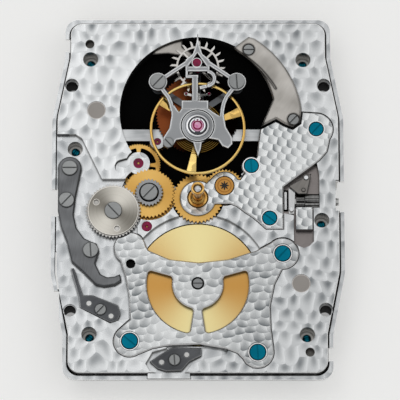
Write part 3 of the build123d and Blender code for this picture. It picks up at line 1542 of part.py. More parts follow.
def fastener_nodes():
    """The groups of like screws and pins, each fastener a solid of its own."""
    head = blue_head_height
    blue = screws(
        barrel_bridge_spots, blue_large_radius, bridge_top, head, blue_shank_radius, screw_floor,
        slot_turn_deg,
    )
    blue += screws(
        train_bridge_spots, blue_head_radius, bridge_top, head, blue_shank_radius, screw_floor, slot_turn_deg
    )
    deep = screws(
        deep_spots, deep_head_radius, deep_floor + deep_head_height, deep_head_height, deep_shank_radius,
        back_thickness / 4, slot_turn_deg,
    )
    steel = screws(
        guard_screws, small_screw_radius, guard_top, small_screw_sink, small_shank_radius, flange_bottom, 0
    )
    small_top = spring_top + small_screw_height
    steel += screws(
        [jumper_screw, barrel_spring_screw], small_screw_radius, small_top, small_screw_height,
        small_shank_radius, screw_floor, slot_turn_deg,
    )
    steel += screws(
        [lever_pivot] + lever_screws, lever_screw_radius, lever_screw_top,
        lever_screw_top - lever_top - running_clearance, lever_screw_shank, screw_floor, 0,
    )
    pins = [rod(place, spring_pin_radius, flange_bottom, spring_top + slot_depth) for place in spring_pins]
    discs = [
        rod(place, plug_radius - seat_clearance, plate_top - plug_depth, plate_top - inlay_clearance)
        for place in plug_spots
    ]
    return {
        "bridge_screws": blue, "plate_screws": deep, "steel_screws": steel, "spring_pins": pins,
        "plug_discs": discs, "wheel_screws": wheel_screws(),
    }


def fixed_wheel():
    """The toothed ring that stands still under the cage."""
    return gear(
        cage_place, fixed_teeth, fixed_module, 0, fixed_bottom, fixed_bottom + fixed_thickness,
        hub_radius + seat_clearance,
    )


def bronze_bush():
    """The bronze bush of the setting wheel's arbor, set in the train bridge."""
    top = bridge_top + seat_clearance
    bottom = wheel_bottom + wheel_thickness + wheel_clearance / 2
    return rod(setting_place, bush_radius, bottom, top, arbor_radius + running_clearance)


def all_nodes():
    """Every node of the movement by its name."""
    nodes = {
        "base_plate": base_plate(),
        "back_plate": back_plate(),
        "tourbillon_well": tourbillon_well(),
        "cage_lower_bridge": cage_lower_bridge(),
        "fixed_wheel": fixed_wheel(),
        "side_arm": side_arm(),
        "third_cock": third_cock(),
        "train_bridge": train_bridge(),
        "barrel_bridge": barrel_bridge(),
        "guard": guard(),
        "bronze_bush": bronze_bush(),
        "train_jewels": fixed_jewels(),
        "jumper_spring": spring_plate(jumper_base_px, jumper_screw, spring_pins[:2], jumper_blade_px),
        "barrel_spring": spring_plate(barrel_spring_px, barrel_spring_screw, spring_pins[2:]),
        "corrector_lever": corrector_lever(),
        "second_wheel": second_wheel(),
        "third_wheel": third_wheel(),
        "fourth_wheel": fourth_wheel(),
        "setting_wheel": setting_wheel(),
        "cage_arbor": cage_arbor(),
        "cage_plate": cage_plate(),
        "cage_pillars": cage_pillars(),
        "cage_bridge": cage_bridge(),
        "cage_screws": cage_screws(),
        "cage_jewels": cage_jewels(),
        "escape_wheel": escape_wheel(),
        "escape_arbor": escape_arbor(),
        "pallet_lever": pallet_lever(),
        "pallet_stones": pallet_stones(),
        "balance_wheel": balance_wheel(),
        "balance_staff": balance_staff(),
        "hairspring": hairspring(),
    }
    groups = (
        barrel_nodes, centre_nodes, intermediate_nodes, calendar_nodes, keyless_nodes, winding_nodes,
        fastener_nodes,
    )
    for group in groups:
        nodes.update(group())
    return nodes


os.makedirs("parts", exist_ok=True)
for name, shape in all_nodes().items():
    if isinstance(shape, list):
        shape = Compound(children=shape)
    export_step(shape, f"parts/{name}.step")
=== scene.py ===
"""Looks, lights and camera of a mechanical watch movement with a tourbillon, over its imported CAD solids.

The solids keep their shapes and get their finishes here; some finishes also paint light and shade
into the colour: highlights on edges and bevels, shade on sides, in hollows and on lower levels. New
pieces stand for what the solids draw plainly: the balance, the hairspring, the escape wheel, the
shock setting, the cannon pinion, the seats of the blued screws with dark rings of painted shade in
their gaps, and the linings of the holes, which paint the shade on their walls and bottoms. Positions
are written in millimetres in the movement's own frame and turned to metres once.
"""

import logging
import math
from abc import ABC, abstractmethod
from dataclasses import dataclass, field
from enum import Enum
from typing import Any, ClassVar

import bmesh
import bpy
import numpy as np
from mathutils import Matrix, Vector


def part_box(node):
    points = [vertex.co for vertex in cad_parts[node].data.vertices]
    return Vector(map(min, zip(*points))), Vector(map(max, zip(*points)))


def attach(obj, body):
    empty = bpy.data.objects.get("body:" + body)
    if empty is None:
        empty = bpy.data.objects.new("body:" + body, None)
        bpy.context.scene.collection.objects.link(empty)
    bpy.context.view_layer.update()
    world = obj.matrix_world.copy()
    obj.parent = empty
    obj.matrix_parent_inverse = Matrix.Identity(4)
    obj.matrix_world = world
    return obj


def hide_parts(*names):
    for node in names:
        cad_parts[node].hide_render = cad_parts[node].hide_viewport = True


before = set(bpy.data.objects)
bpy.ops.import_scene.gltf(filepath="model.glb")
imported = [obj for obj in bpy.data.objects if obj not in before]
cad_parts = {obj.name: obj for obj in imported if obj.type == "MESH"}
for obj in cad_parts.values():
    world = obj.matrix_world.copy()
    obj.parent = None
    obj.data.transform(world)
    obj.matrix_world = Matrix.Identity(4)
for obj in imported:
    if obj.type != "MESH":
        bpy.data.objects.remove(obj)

LOG = logging.getLogger("watch_movement")
MM = 0.001
Tree = bpy.types.NodeTree
Socket = bpy.types.NodeSocket
Pair = tuple[float, float]
Bands = tuple[tuple[Socket, str], ...]
MATH = "ShaderNodeMath"
VECTOR_MATH = "ShaderNodeVectorMath"
MIX = "ShaderNodeMix"
MAP_RANGE = "ShaderNodeMapRange"
COMBINE = "ShaderNodeCombineXYZ"
SEPARATE = "ShaderNodeSeparateXYZ"
NOISE = "ShaderNodeTexNoise"
OCCLUSION = "ShaderNodeAmbientOcclusion"
BEVEL_LEAN = 0.93
SIDE_LEAN = 0.25
OCCLUSION_RAYS = 8
EDGE_RANGE = (0.97, 0.72)
HOLLOW_RANGE = (0.95, 0.35)
CLOUD_RANGE = (0.3, 0.7)


class Grain(Enum):
    """How the lines of a brushed finish run."""

    STRAIGHT = "straight"
    ROUND = "round"


def linear(hex_colour: str) -> tuple[float, float, float, float]:
    """Turn an sRGB hex colour into the linear colour that a shader takes.

    Args:
        hex_colour: Six hex digits, with or without a leading hash.

    Returns:
        Red, green, blue and an alpha of one.
    """
    digits = hex_colour.lstrip("#")
    channels = [int(digits[i : i + 2], 16) / 255 for i in (0, 2, 4)]
    bent = [c / 12.92 if c <= 0.04045 else ((c + 0.055) / 1.055) ** 2.4 for c in channels]
    return (bent[0], bent[1], bent[2], 1.0)


def add_node(
    tree: Tree, kind: str, inputs: dict[Any, Any] | None = None, **settings: Any
) -> bpy.types.Node:
    """Add one node with its settings, its values and its links.

    Args:
        tree: The node tree to add to.
        kind: The node's type name.
        inputs: Input name or index to a value, or to the socket that feeds it.
        settings: Attributes of the node.

    Returns:
        The new node.
    """
    node = tree.nodes.new(kind)
    for key, value in settings.items():
        setattr(node, key, value)
    for key, value in (inputs or {}).items():
        if isinstance(value, bpy.types.NodeSocket):
            tree.links.new(value, node.inputs[key])
        else:
            node.inputs[key].default_value = value
    return node


@dataclass(frozen=True)
class Finish(ABC):
    """A surface finish: the colours, the shader's values and the name of its material.

    A kind of finish gives the pattern in which its shade lies over its base. The edges, the
    bevels, the lower levels, the hollows and the upright sides may each have their own tone of
    painted light and shade: a paler tone paints a highlight, a darker one paints shade.
    """

    name: str
    base: str
    shade: str
    metallic: float = 1.0
    roughness: float = 0.30
    specular: float = 0.5
    # Tones of painted light and shade: on the bevels, the sides, the levels, the edges and the hollows.
    bevel: str = ""
    side: str = ""
    side_reach_mm: Pair = (99.0, 99.0)
    levels: tuple[tuple[float, float, float, str], ...] = ()
    edge: str = ""
    edge_mm: float = 0.12
    hollow: float = 0.0
    hollow_mm: float = 0.25
    depth_mm: float = 0.001
    strength: float = 0.4

    @abstractmethod
    def pattern(self, tree: Tree) -> tuple[Socket, Socket, Bands]:
        """Draw the pattern.

        Args:
            tree: The material's node tree.

        Returns:
            The share of shade, the height of the relief, and bands of tone to lay over the two colours.
        """

    def material(self) -> bpy.types.Material:
        """Build the material: its pattern, its trims of painted light and shade, and its relief.

        Returns:
            The new material.
        """
        material = bpy.data.materials.new(self.name)
        material.use_nodes = True
        material.diffuse_color = linear(self.base)
        tree = material.node_tree
        tree.nodes.clear()
        share, height, bands = self.pattern(tree)
        layers = {0: share, 6: linear(self.base), 7: linear(self.shade)}
        colour = add_node(tree, MIX, layers, data_type="RGBA").outputs[2]
        colour = self.laid(tree, colour, [*bands, *self.trims(tree)])
        relief = {"Height": height, "Strength": self.strength, "Distance": self.depth_mm * MM}
        values = {
            "Base Color": colour,
            "Normal": add_node(tree, "ShaderNodeBump", relief).outputs[0],
            "Metallic": self.metallic,
            "Roughness": self.roughness,
            "Specular IOR Level": self.specular,
        }
        shader = add_node(tree, "ShaderNodeBsdfPrincipled", values)
        add_node(tree, "ShaderNodeOutputMaterial", {"Surface": shader.outputs["BSDF"]})
        return material

    def millimetres(self, tree: Tree, scale: float = 1.0, turn_deg: float = 0.0) -> Socket:
        """Object coordinates in millimetres, divided by a size and turned about the upright.

        Args:
            tree: The material's node tree.
            scale: The real size in millimetres that becomes one unit.
            turn_deg: The turn about the upright axis.

        Returns:
            The socket that carries the coordinates.
        """
        place = add_node(tree, "ShaderNodeTexCoord").outputs["Object"]
        step = 1 / (MM * scale)
        mapping = add_node(
            tree,
            "ShaderNodeMapping",
            {"Vector": place, "Rotation": (0, 0, math.radians(turn_deg)), "Scale": (step, step, step)},
        )
        return mapping.outputs[0]

    def laid(self, tree: Tree, colour: Socket, tones: list[tuple[Socket, str]]) -> Socket:
        """The colour with each tone laid over it in turn, by that tone's own share."""
        for share, tone in tones:
            layers = {0: share, 6: colour, 7: linear(tone)}
            colour = add_node(tree, MIX, layers, data_type="RGBA").outputs[2]
        return colour

    def trims(self, tree: Tree) -> list[tuple[Socket, str]]:
        """The painted light and shade of the edges, the bevels, the levels, the hollows and the sides.

        A face is a side where it stands nearly upright, and a bevel where it leans between that and
        level. A level holds between its two heights.

        Args:
            tree: The material's node tree.

        Returns:
            Each tone with the share that it takes, in the order in which they are laid.
        """
        normal = add_node(tree, "ShaderNodeNewGeometry").outputs["True Normal"]
        lean = add_node(tree, SEPARATE, {0: normal}).outputs[2]
        place = add_node(tree, SEPARATE, {0: self.millimetres(tree)})
        tones: list[tuple[Socket, str]] = []
        # Painted light along the edges: a pale tone paints a highlight, a dark one paints shade.
        if self.edge:
            tones.append((self.near_edge(tree), self.edge))
        # Painted light on the bevels: a pale tone paints a highlight, a dark one paints shade.
        if self.bevel:
            leaning = add_node(tree, MATH, {0: lean, 1: BEVEL_LEAN}, operation="LESS_THAN")
            tones.append((leaning.outputs[0], self.bevel))
        # Painted shade on the levels between their heights.
        for low, high, share, tone in self.levels:
            middle_and_reach = {0: place.outputs[2], 1: (low + high) / 2, 2: (high - low) / 2}
            within = add_node(tree, MATH, middle_and_reach, operation="COMPARE").outputs[0]
            part = add_node(tree, MATH, {0: within, 1: share}, operation="MULTIPLY")
            tones.append((part.outputs[0], tone))
        # Painted shade: black laid in the hollows, as far as near faces shut out the light.
        if self.hollow:
            tones.append((self.shut_in(tree), "000000"))
        # Painted shade on the upright sides, within their reach of the middle.
        if self.side:
            inner = add_node(tree, MATH, {0: lean, 1: SIDE_LEAN}, operation="LESS_THAN").outputs[0]
            for axis, reach in enumerate(self.side_reach_mm):
                away = add_node(tree, MATH, {0: place.outputs[axis]}, operation="ABSOLUTE").outputs[0]
                near = add_node(tree, MATH, {0: away, 1: reach}, operation="LESS_THAN").outputs[0]
                inner = add_node(tree, MATH, {0: inner, 1: near}, operation="MULTIPLY").outputs[0]
            tones.append((inner, self.side))
        return tones

    def near_edge(self, tree: Tree) -> Socket:
        """How near an edge is: there, rays sent into the metal soon leave it."""
        reach = {"Distance": self.edge_mm * MM}
        within = add_node(tree, OCCLUSION, reach, samples=OCCLUSION_RAYS, inside=True, only_local=True)
        far, near = EDGE_RANGE
        return add_node(
            tree, MAP_RANGE, {"Value": within.outputs["AO"], "From Min": far, "From Max": near}
        ).outputs[0]

    def shut_in(self, tree: Tree) -> Socket:
        """How far near faces shut out the light."""
        sky = add_node(tree, OCCLUSION, {"Distance": self.hollow_mm * MM}, samples=OCCLUSION_RAYS)
        clear, shut = HOLLOW_RANGE
        return add_node(
            tree,
            MAP_RANGE,
            {"Value": sky.outputs["AO"], "From Min": clear, "From Max": shut, "To Max": self.hollow},
        ).outputs[0]


@dataclass(frozen=True)
class Perlage(Finish):
    """Circular graining: spots ground by a turning peg, each over part of the last ones.

    The eye sees overlapping scales, each a shallow dish with fine rings, its core and one side
    painted dark with shade, and bright along the other. Real rings are too fine to show, so these
    are drawn about 0.1 mm apart.
    """

    pitch_mm: float = 1.5
    stretch: float = 1.0
    row_share: float = 0.80
    radius_share: float = 0.82
    stagger_share: float = 0.5
    depth_mm: float = 0.03
    strength: float = 1.0
    turn_deg: float = 0.0
    wander: float = 0.30
    # How much painted shade lies in a spot's core and in its wedge to one side, and the wedge's turn.
    core: float = 0.8
    wedge: float = 0.5
    wedge_deg: float = 230.0
    ring_turn: float = 75.0
    ring_share: float = 0.018
    drift_scale: float = 0.45
    broad_light_scale: float = 0.16
    luck_share: float = 0.6
    row_number: float = 7.31

    def pattern(self, tree: Tree) -> tuple[Socket, Socket, Bands]:
        """The topmost spot that covers each point, a dish whose height is its radius squared."""
        even = self.millimetres(tree, self.pitch_mm, self.turn_deg)
        flattened = {0: even, 1: (1.0, 1 / self.stretch, 1.0)}
        place = add_node(tree, VECTOR_MATH, flattened, operation="MULTIPLY").outputs[0]
        spot = self.topmost(tree, self.swayed(tree, place))
        parts = add_node(tree, SEPARATE, {0: spot})
        local = add_node(tree, COMBINE, {0: parts.outputs[0], 1: parts.outputs[1]}).outputs[0]
        radius = add_node(tree, VECTOR_MATH, {0: local}, operation="LENGTH").outputs["Value"]
        dish = add_node(tree, MATH, {0: radius, 1: 2.0}, operation="POWER").outputs[0]
        turns = add_node(tree, MATH, {0: radius, 1: self.ring_turn}, operation="MULTIPLY").outputs[0]
        rings = add_node(tree, MATH, {0: turns}, operation="SINE").outputs[0]
        height = add_node(
            tree, MATH, {0: rings, 1: self.ring_share, 2: dish}, operation="MULTIPLY_ADD"
        ).outputs[0]
        # Painted shade in each spot's core and to one side, scaled by how hard the spot was ground and by
        # the slow painted change of light.
        shape = self.shadow(tree, local, radius)
        press = self.press(tree, even, parts.outputs[2])
        tone = add_node(tree, MATH, {0: shape, 1: press}, operation="MULTIPLY", use_clamp=True)
        return tone.outputs[0], height, ()

    def swayed(self, tree: Tree, place: Socket) -> Socket:
        """The place moved by a slow drift, as the hand that set the spots wandered."""
        drift = add_node(tree, NOISE, {"Vector": place, "Scale": self.drift_scale, "Detail": 1.0})
        about_zero = {0: drift.outputs["Color"], 1: (0.5, 0.5, 0.5)}
        shift = add_node(tree, VECTOR_MATH, about_zero, operation="SUBTRACT").outputs[0]
        sway = add_node(tree, VECTOR_MATH, {0: shift, "Scale": self.wander * 3}, operation="SCALE")
        return add_node(tree, VECTOR_MATH, {0: place, 1: sway.outputs[0]}, operation="ADD").outputs[0]

    def topmost(self, tree: Tree, place: Socket) -> Socket:
        """The last ground of the spots over each point.

        Spots stand one apart in rows, each row set over by the stagger. Of the three rows that can
        reach a point, a later one covers an earlier one wherever the point is within its radius.

        Args:
            tree: The material's node tree.
            place: The place, in pitches.

        Returns:
            The point's place from the spot's middle, with the spot's number as the third part.
        """
        split = add_node(tree, SEPARATE, {0: place})
        across, along = split.outputs[0], split.outputs[1]
        raised = add_node(tree, MATH, {0: along, 1: self.radius_share}, operation="ADD").outputs[0]
        rows = add_node(tree, MATH, {0: raised, 1: self.row_share}, operation="DIVIDE").outputs[0]
        first = add_node(tree, MATH, {0: rows}, operation="FLOOR").outputs[0]
        chosen = None
        for step in (2, 1, 0):
            row = add_node(tree, MATH, {0: first, 1: float(step)}, operation="SUBTRACT").outputs[0]
            row_y = add_node(tree, MATH, {0: row, 1: self.row_share}, operation="MULTIPLY").outputs[0]
            over = add_node(tree, MATH, {0: row, 1: self.stagger_share}, operation="MULTIPLY").outputs[0]
            loose = add_node(tree, MATH, {0: across, 1: over}, operation="SUBTRACT").outputs[0]
            whole = add_node(tree, MATH, {0: loose}, operation="ROUND").outputs[0]
            from_x = add_node(tree, MATH, {0: loose, 1: whole}, operation="SUBTRACT").outputs[0]
            from_y = add_node(tree, MATH, {0: along, 1: row_y}, operation="SUBTRACT").outputs[0]
            number = add_node(
                tree, MATH, {0: row, 1: self.row_number, 2: whole}, operation="MULTIPLY_ADD"
            ).outputs[0]
            spot = add_node(tree, COMBINE, {0: from_x, 1: from_y, 2: number}).outputs[0]
            if chosen is None:
                chosen = spot
                continue
            flat = add_node(tree, COMBINE, {0: from_x, 1: from_y}).outputs[0]
            reach = add_node(tree, VECTOR_MATH, {0: flat}, operation="LENGTH").outputs["Value"]
            inside = add_node(
                tree, MATH, {0: reach, 1: self.radius_share}, operation="LESS_THAN"
            ).outputs[0]
            chosen = add_node(tree, MIX, {0: inside, 4: chosen, 5: spot}, data_type="VECTOR").outputs[1]
        return chosen

    def shadow(self, tree: Tree, local: Socket, radius: Socket) -> Socket:
        """How much painted shade a spot has: its core and the wedge to one side of it, added."""
        away = math.radians(self.wedge_deg - self.turn_deg)
        heading = {0: local, 1: (math.cos(away), math.sin(away), 0.0)}
        beside = add_node(tree, VECTOR_MATH, heading, operation="DOT_PRODUCT").outputs["Value"]
        wing = add_node(
            tree,
            MAP_RANGE,
            {"Value": beside, "From Min": -0.1, "From Max": self.radius_share, "To Max": self.wedge},
            interpolation_type="SMOOTHSTEP",
        ).outputs[0]
        heart = add_node(
            tree,
            MAP_RANGE,
            {"Value": radius, "From Min": 0.85 * self.radius_share, "From Max": 0.0, "To Max": self.core},
            interpolation_type="SMOOTHSTEP",
        ).outputs[0]
        return add_node(tree, MATH, {0: wing, 1: heart}, operation="ADD").outputs[0]

    def press(self, tree: Tree, even: Socket, number: Socket) -> Socket:
        """How strong each spot's painted shade is: by its number, as spots were ground a little unevenly,
        and by a slow painted change of light over the plate.
        """
        luck = add_node(tree, "ShaderNodeTexWhiteNoise", {"W": number}, noise_dimensions="1D")
        broad = add_node(tree, NOISE, {"Vector": even, "Scale": self.broad_light_scale, "Detail": 0.0})
        broad_light = add_node(
            tree,
            MAP_RANGE,
            {"Value": broad.outputs[0], "From Min": 0.35, "From Max": 0.6, "To Min": 0.35, "To Max": 0.75},
        ).outputs[0]
        both = {0: luck.outputs["Value"], 1: self.luck_share, 2: broad_light}
        return add_node(tree, MATH, both, operation="MULTIPLY_ADD").outputs[0]


@dataclass(frozen=True)
class Brushed(Finish):
    """Brushed or turned metal: fine lines that run straight, or round an axis.

    Round an axis, bands of reflected light and shade across the lines are painted into the
    colour; straight lines get a slow, silky cloud of tone. Turned metal may change its tone inside
    each of a row of radii, the largest first. Real lines lie about 0.01 mm apart, too fine to show,
    so they are drawn several times as coarse.
    """

    grain: Grain = Grain.STRAIGHT
    line_mm: float = 0.06
    turn_deg: float = 0.0
    axis_mm: Pair = (0.0, 0.0)
    # Painted rays of reflected light round the axis: how many, and the turn at which the first is
    # brightest.
    rays: int = 1
    ray_deg: float = 90.0
    depth_mm: float = 0.0015
    strength: float = 0.6
    contrast: float = 0.35
    line_contrast: float = 0.25
    bands: tuple[tuple[float, str], ...] = ()
    streak_share: float = 0.04
    cloud_scale: float = 0.35

    def pattern(self, tree: Tree) -> tuple[Socket, Socket, Bands]:
        """Lines that follow the grain, with a soft sweep of tone along it."""
        place = self.millimetres(tree, 1.0, self.turn_deg)
        grain = self.straight_grain if self.grain is Grain.STRAIGHT else self.round_grain
        lines, sweep, radius = grain(tree, place)
        threads = add_node(
            tree, NOISE, {"Vector": lines, "Scale": 1 / self.line_mm, "Detail": 3.0, "Roughness": 0.6}
        ).outputs[0]
        fine = add_node(
            tree, MATH, {0: threads, 1: self.line_contrast, 2: sweep}, operation="MULTIPLY_ADD"
        ).outputs[0]
        bands = tuple(
            (add_node(tree, MATH, {0: radius, 1: reach}, operation="LESS_THAN").outputs[0], tone)
            for reach, tone in self.bands
        )
        return fine, threads, bands

    def straight_grain(self, tree: Tree, place: Socket) -> tuple[Socket, Socket, None]:
        """The space that straight lines are drawn in, and the slow cloud of their tone.

        Args:
            tree: The material's node tree.
            place: The place in millimetres, turned to the grain.

        Returns:
            The stretched place, the share of shade, and no radius.
        """
        stretched = {0: place, 1: (self.streak_share, 1.0, 1.0)}
        lines = add_node(tree, VECTOR_MATH, stretched, operation="MULTIPLY").outputs[0]
        broad = add_node(tree, NOISE, {"Vector": place, "Scale": self.cloud_scale, "Detail": 2.0})
        low, high = CLOUD_RANGE
        sweep = add_node(
            tree,
            MAP_RANGE,
            {"Value": broad.outputs[0], "From Min": low, "From Max": high, "To Max": self.contrast},
        ).outputs[0]
        return lines, sweep, None

    def round_grain(self, tree: Tree, place: Socket) -> tuple[Socket, Socket, Socket]:
        """The space that round lines are drawn in, and the painted rays of reflected light and shade across
        them.

        The share of painted shade follows the cosine of the turn about the axis times the number of rays.

        Args:
            tree: The material's node tree.
            place: The place in millimetres.

        Returns:
            The radius as a place, the share of shade, and the radius.
        """
        from_axis = {0: place, 1: (*self.axis_mm, 0.0)}
        centred = add_node(tree, VECTOR_MATH, from_axis, operation="SUBTRACT").outputs[0]
        split = add_node(tree, SEPARATE, {0: centred})
        across, along = split.outputs[0], split.outputs[1]
        flat = add_node(tree, COMBINE, {0: across, 1: along}).outputs[0]
        radius = add_node(tree, VECTOR_MATH, {0: flat}, operation="LENGTH").outputs["Value"]
        angle = add_node(tree, MATH, {0: along, 1: across}, operation="ARCTAN2").outputs[0]
        lines = add_node(tree, COMBINE, {0: radius}).outputs[0]
        start = math.radians(self.ray_deg)
        turned = add_node(tree, MATH, {0: angle, 1: start}, operation="SUBTRACT").outputs[0]
        fan = add_node(tree, MATH, {0: turned, 1: float(self.rays)}, operation="MULTIPLY").outputs[0]
        wave = add_node(tree, MATH, {0: fan}, operation="COSINE").outputs[0]
        sweep = add_node(
            tree,
            MAP_RANGE,
            {"Value": wave, "From Min": 1.0, "From Max": -1.0, "To Max": self.contrast},
        ).outputs[0]
        return lines, sweep, radius


@dataclass(frozen=True)
class Plain(Finish):
    """A polished or matt surface with only a faint unevenness."""

    cloud_mm: float = 0.8
    contrast: float = 0.25

    def pattern(self, tree: Tree) -> tuple[Socket, Socket, Bands]:
        """A slow drift of tone and a faint unevenness."""
        place = self.millimetres(tree)
        cloud = add_node(
            tree, NOISE, {"Vector": place, "Scale": 1 / self.cloud_mm, "Detail": 3.0}
        ).outputs[0]
        low, high = CLOUD_RANGE
        tone = add_node(
            tree, MAP_RANGE, {"Value": cloud, "From Min": low, "From Max": high, "To Max": self.contrast}
        ).outputs[0]
        return tone, cloud, ()


def dress(node: str, material: bpy.types.Material) -> None:
    """Give a CAD node its finish.

    Args:
        node: The node's name.
        material: The material for every slot.
    """
    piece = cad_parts[node]
    if not piece.material_slots:
        piece.data.materials.append(material)
    for slot in piece.material_slots:
        slot.link = "OBJECT"
        slot.material = material


class Surface:
    """A mesh gathered from grids of points, each grid one closed or open sheet of quads."""

    def __init__(self) -> None:
        """Start with no points and no faces."""
        self.points: list[np.ndarray] = []
        self.faces: list[np.ndarray] = []
        self.count = 0

    def add(self, grid: np.ndarray, round_u: bool, round_v: bool) -> None:
        """Add a grid of points in millimetres.

        Face (i, j) joins points (i, j), (i + 1, j), (i + 1, j + 1) and (i, j + 1), counted round
        again where the grid is closed.

        Args:
            grid: Points as an array of rows, columns and three coordinates.
            round_u: Whether the last row joins the first.
            round_v: Whether the last column joins the first.
        """
        rows, columns = grid.shape[:2]
        index = np.arange(rows * columns).reshape(rows, columns) + self.count
        next_u = np.roll(index, -1, axis=0)
        next_v = np.roll(index, -1, axis=1)
        both = np.roll(next_u, -1, axis=1)
        quads = np.stack([index, next_u, both, next_v], axis=-1)
        quads = quads[: rows if round_u else rows - 1, : columns if round_v else columns - 1]
        self.points.append(grid.reshape(-1, 3))
        self.faces.append(quads.reshape(-1, 4))
        self.count += rows * columns

    def turn(self, profile: np.ndarray, centre: Pair, segments: int, closed: bool = True) -> None:
        """Add a profile turned about an upright axis, closed to a ring or open at its poles."""
        self.add(revolve(profile, centre, segments), True, closed)

    def sweep(self, path: np.ndarray, section: np.ndarray) -> None:
        """Add a section carried along a path, with both its ends closed."""
        self.add(end_caps(carry(path, section)), False, True)

    def piece(self, name: str, material: bpy.types.Material, smooth: bool = True) -> bpy.types.Object:
        """Make the object, in metres, with its faces turned outwards and its poles closed.

        Args:
            name: The object's name.
            material: Its finish.
            smooth: Whether its faces are shaded smooth.

        Returns:
            The new object.
        """
        mesh = bpy.data.meshes.new(name)
        mesh.from_pydata(np.vstack(self.points) * MM, [], np.vstack(self.faces).tolist())
        work = bmesh.new()
        work.from_mesh(mesh)
        bmesh.ops.remove_doubles(work, verts=work.verts, dist=1e-7)
        bmesh.ops.dissolve_degenerate(work, edges=work.edges, dist=1e-8)
        bmesh.ops.recalc_face_normals(work, faces=work.faces)
        work.to_mesh(mesh)
        work.free()
        mesh.materials.append(material)
        if smooth:
            mesh.shade_smooth()
            mesh.set_sharp_from_angle(angle=math.radians(35))
        piece = bpy.data.objects.new(name, mesh)
        bpy.context.scene.collection.objects.link(piece)
        return piece


def around(centre: Pair, radius: np.ndarray, turn: np.ndarray, height: np.ndarray) -> np.ndarray:
    """Points about an upright axis: the centre plus the radius in the direction of the turn.

    Args:
        centre: The axis in millimetres.
        radius: Distances from the axis.
        turn: Turns in radians.
        height: Heights in millimetres.

    Returns:
        The points, in the shape that the three together have.
    """
    radius, turn, height = np.broadcast_arrays(radius, turn, height)
    return np.stack([centre[0] + radius * np.cos(turn), centre[1] + radius * np.sin(turn), height], axis=-1)


def revolve(profile: np.ndarray, centre: Pair, segments: int) -> np.ndarray:
    """Turn a profile about an upright axis.

    Point (u, v) is the centre plus the profile's radius at v in the direction u, at the profile's
    height at v.

    Args:
        profile: Radius and height pairs in millimetres.
        centre: The axis in millimetres.
        segments: How many steps the turn has.

    Returns:
        A grid that is closed round the axis.
    """
    turn = np.linspace(0, 2 * np.pi, segments, endpoint=False)[:, None]
    return around(centre, profile[None, :, 0], turn, profile[None, :, 1])


def hub_profile(bore: float, radius: float, levels: Pair, chamfer: float) -> np.ndarray:
    """The profile of a bored hub whose two outer edges are chamfered.

    Args:
        bore: The bore's radius in millimetres.
        radius: The hub's radius in millimetres.
        levels: Its underside and its top in millimetres.
        chamfer: How far each edge is taken off.

    Returns:
        Radius and height pairs.
    """
    low, top = levels
    shoulder = radius - chamfer
    outer = [[shoulder, low], [radius, low + chamfer], [radius, top - chamfer], [shoulder, top]]
    return np.array([[bore, low], *outer, [bore, top]])


def carry(path: np.ndarray, section: np.ndarray) -> np.ndarray:
    """Carry a section along a level path.

    Point (u, v) is the path at u, plus the section's width at v across the path, plus the
    section's height at v upwards.

    Args:
        path: Points in millimetres, all the way along.
        section: Width and height pairs in millimetres.

    Returns:
        A grid whose columns close round the section.
    """
    ahead = np.gradient(path, axis=0)[:, :2]
    ahead /= np.linalg.norm(ahead, axis=1, keepdims=True)
    side = np.stack([-ahead[:, 1], ahead[:, 0], np.zeros(len(path))], axis=1)
    up = np.array([0.0, 0.0, 1.0])
    return path[:, None] + side[:, None] * section[None, :, :1] + up * section[None, :, 1:]


def rounded_box(width: float, height: float, radius: float, steps: int = 4) -> np.ndarray:
    """A rectangle with round corners, each an arc of a quarter turn about its own centre.

    Args:
        width: Its whole width in millimetres.
        height: Its whole height in millimetres.
        radius: The corner radius in millimetres.
        steps: Steps in each corner.

    Returns:
        Width and height pairs, once round.
    """
    turns = np.linspace(0, np.pi / 2, steps)
    x, y = width / 2 - radius, height / 2 - radius
    corners = [(x, y), (-x, y), (-x, -y), (x, -y)]
    runs = [
        around(corner, radius, turns + quarter * np.pi / 2, 0.0)[:, :2]
        for quarter, corner in enumerate(corners)
    ]
    return np.vstack(runs)


def end_caps(grid: np.ndarray) -> np.ndarray:
    """Close a carried grid's two ends by drawing the first and last section in to their middles."""
    first = np.repeat(grid[:1].mean(axis=1, keepdims=True), grid.shape[1], axis=1)
    last = np.repeat(grid[-1:].mean(axis=1, keepdims=True), grid.shape[1], axis=1)
    return np.concatenate([first, grid, last], axis=0)


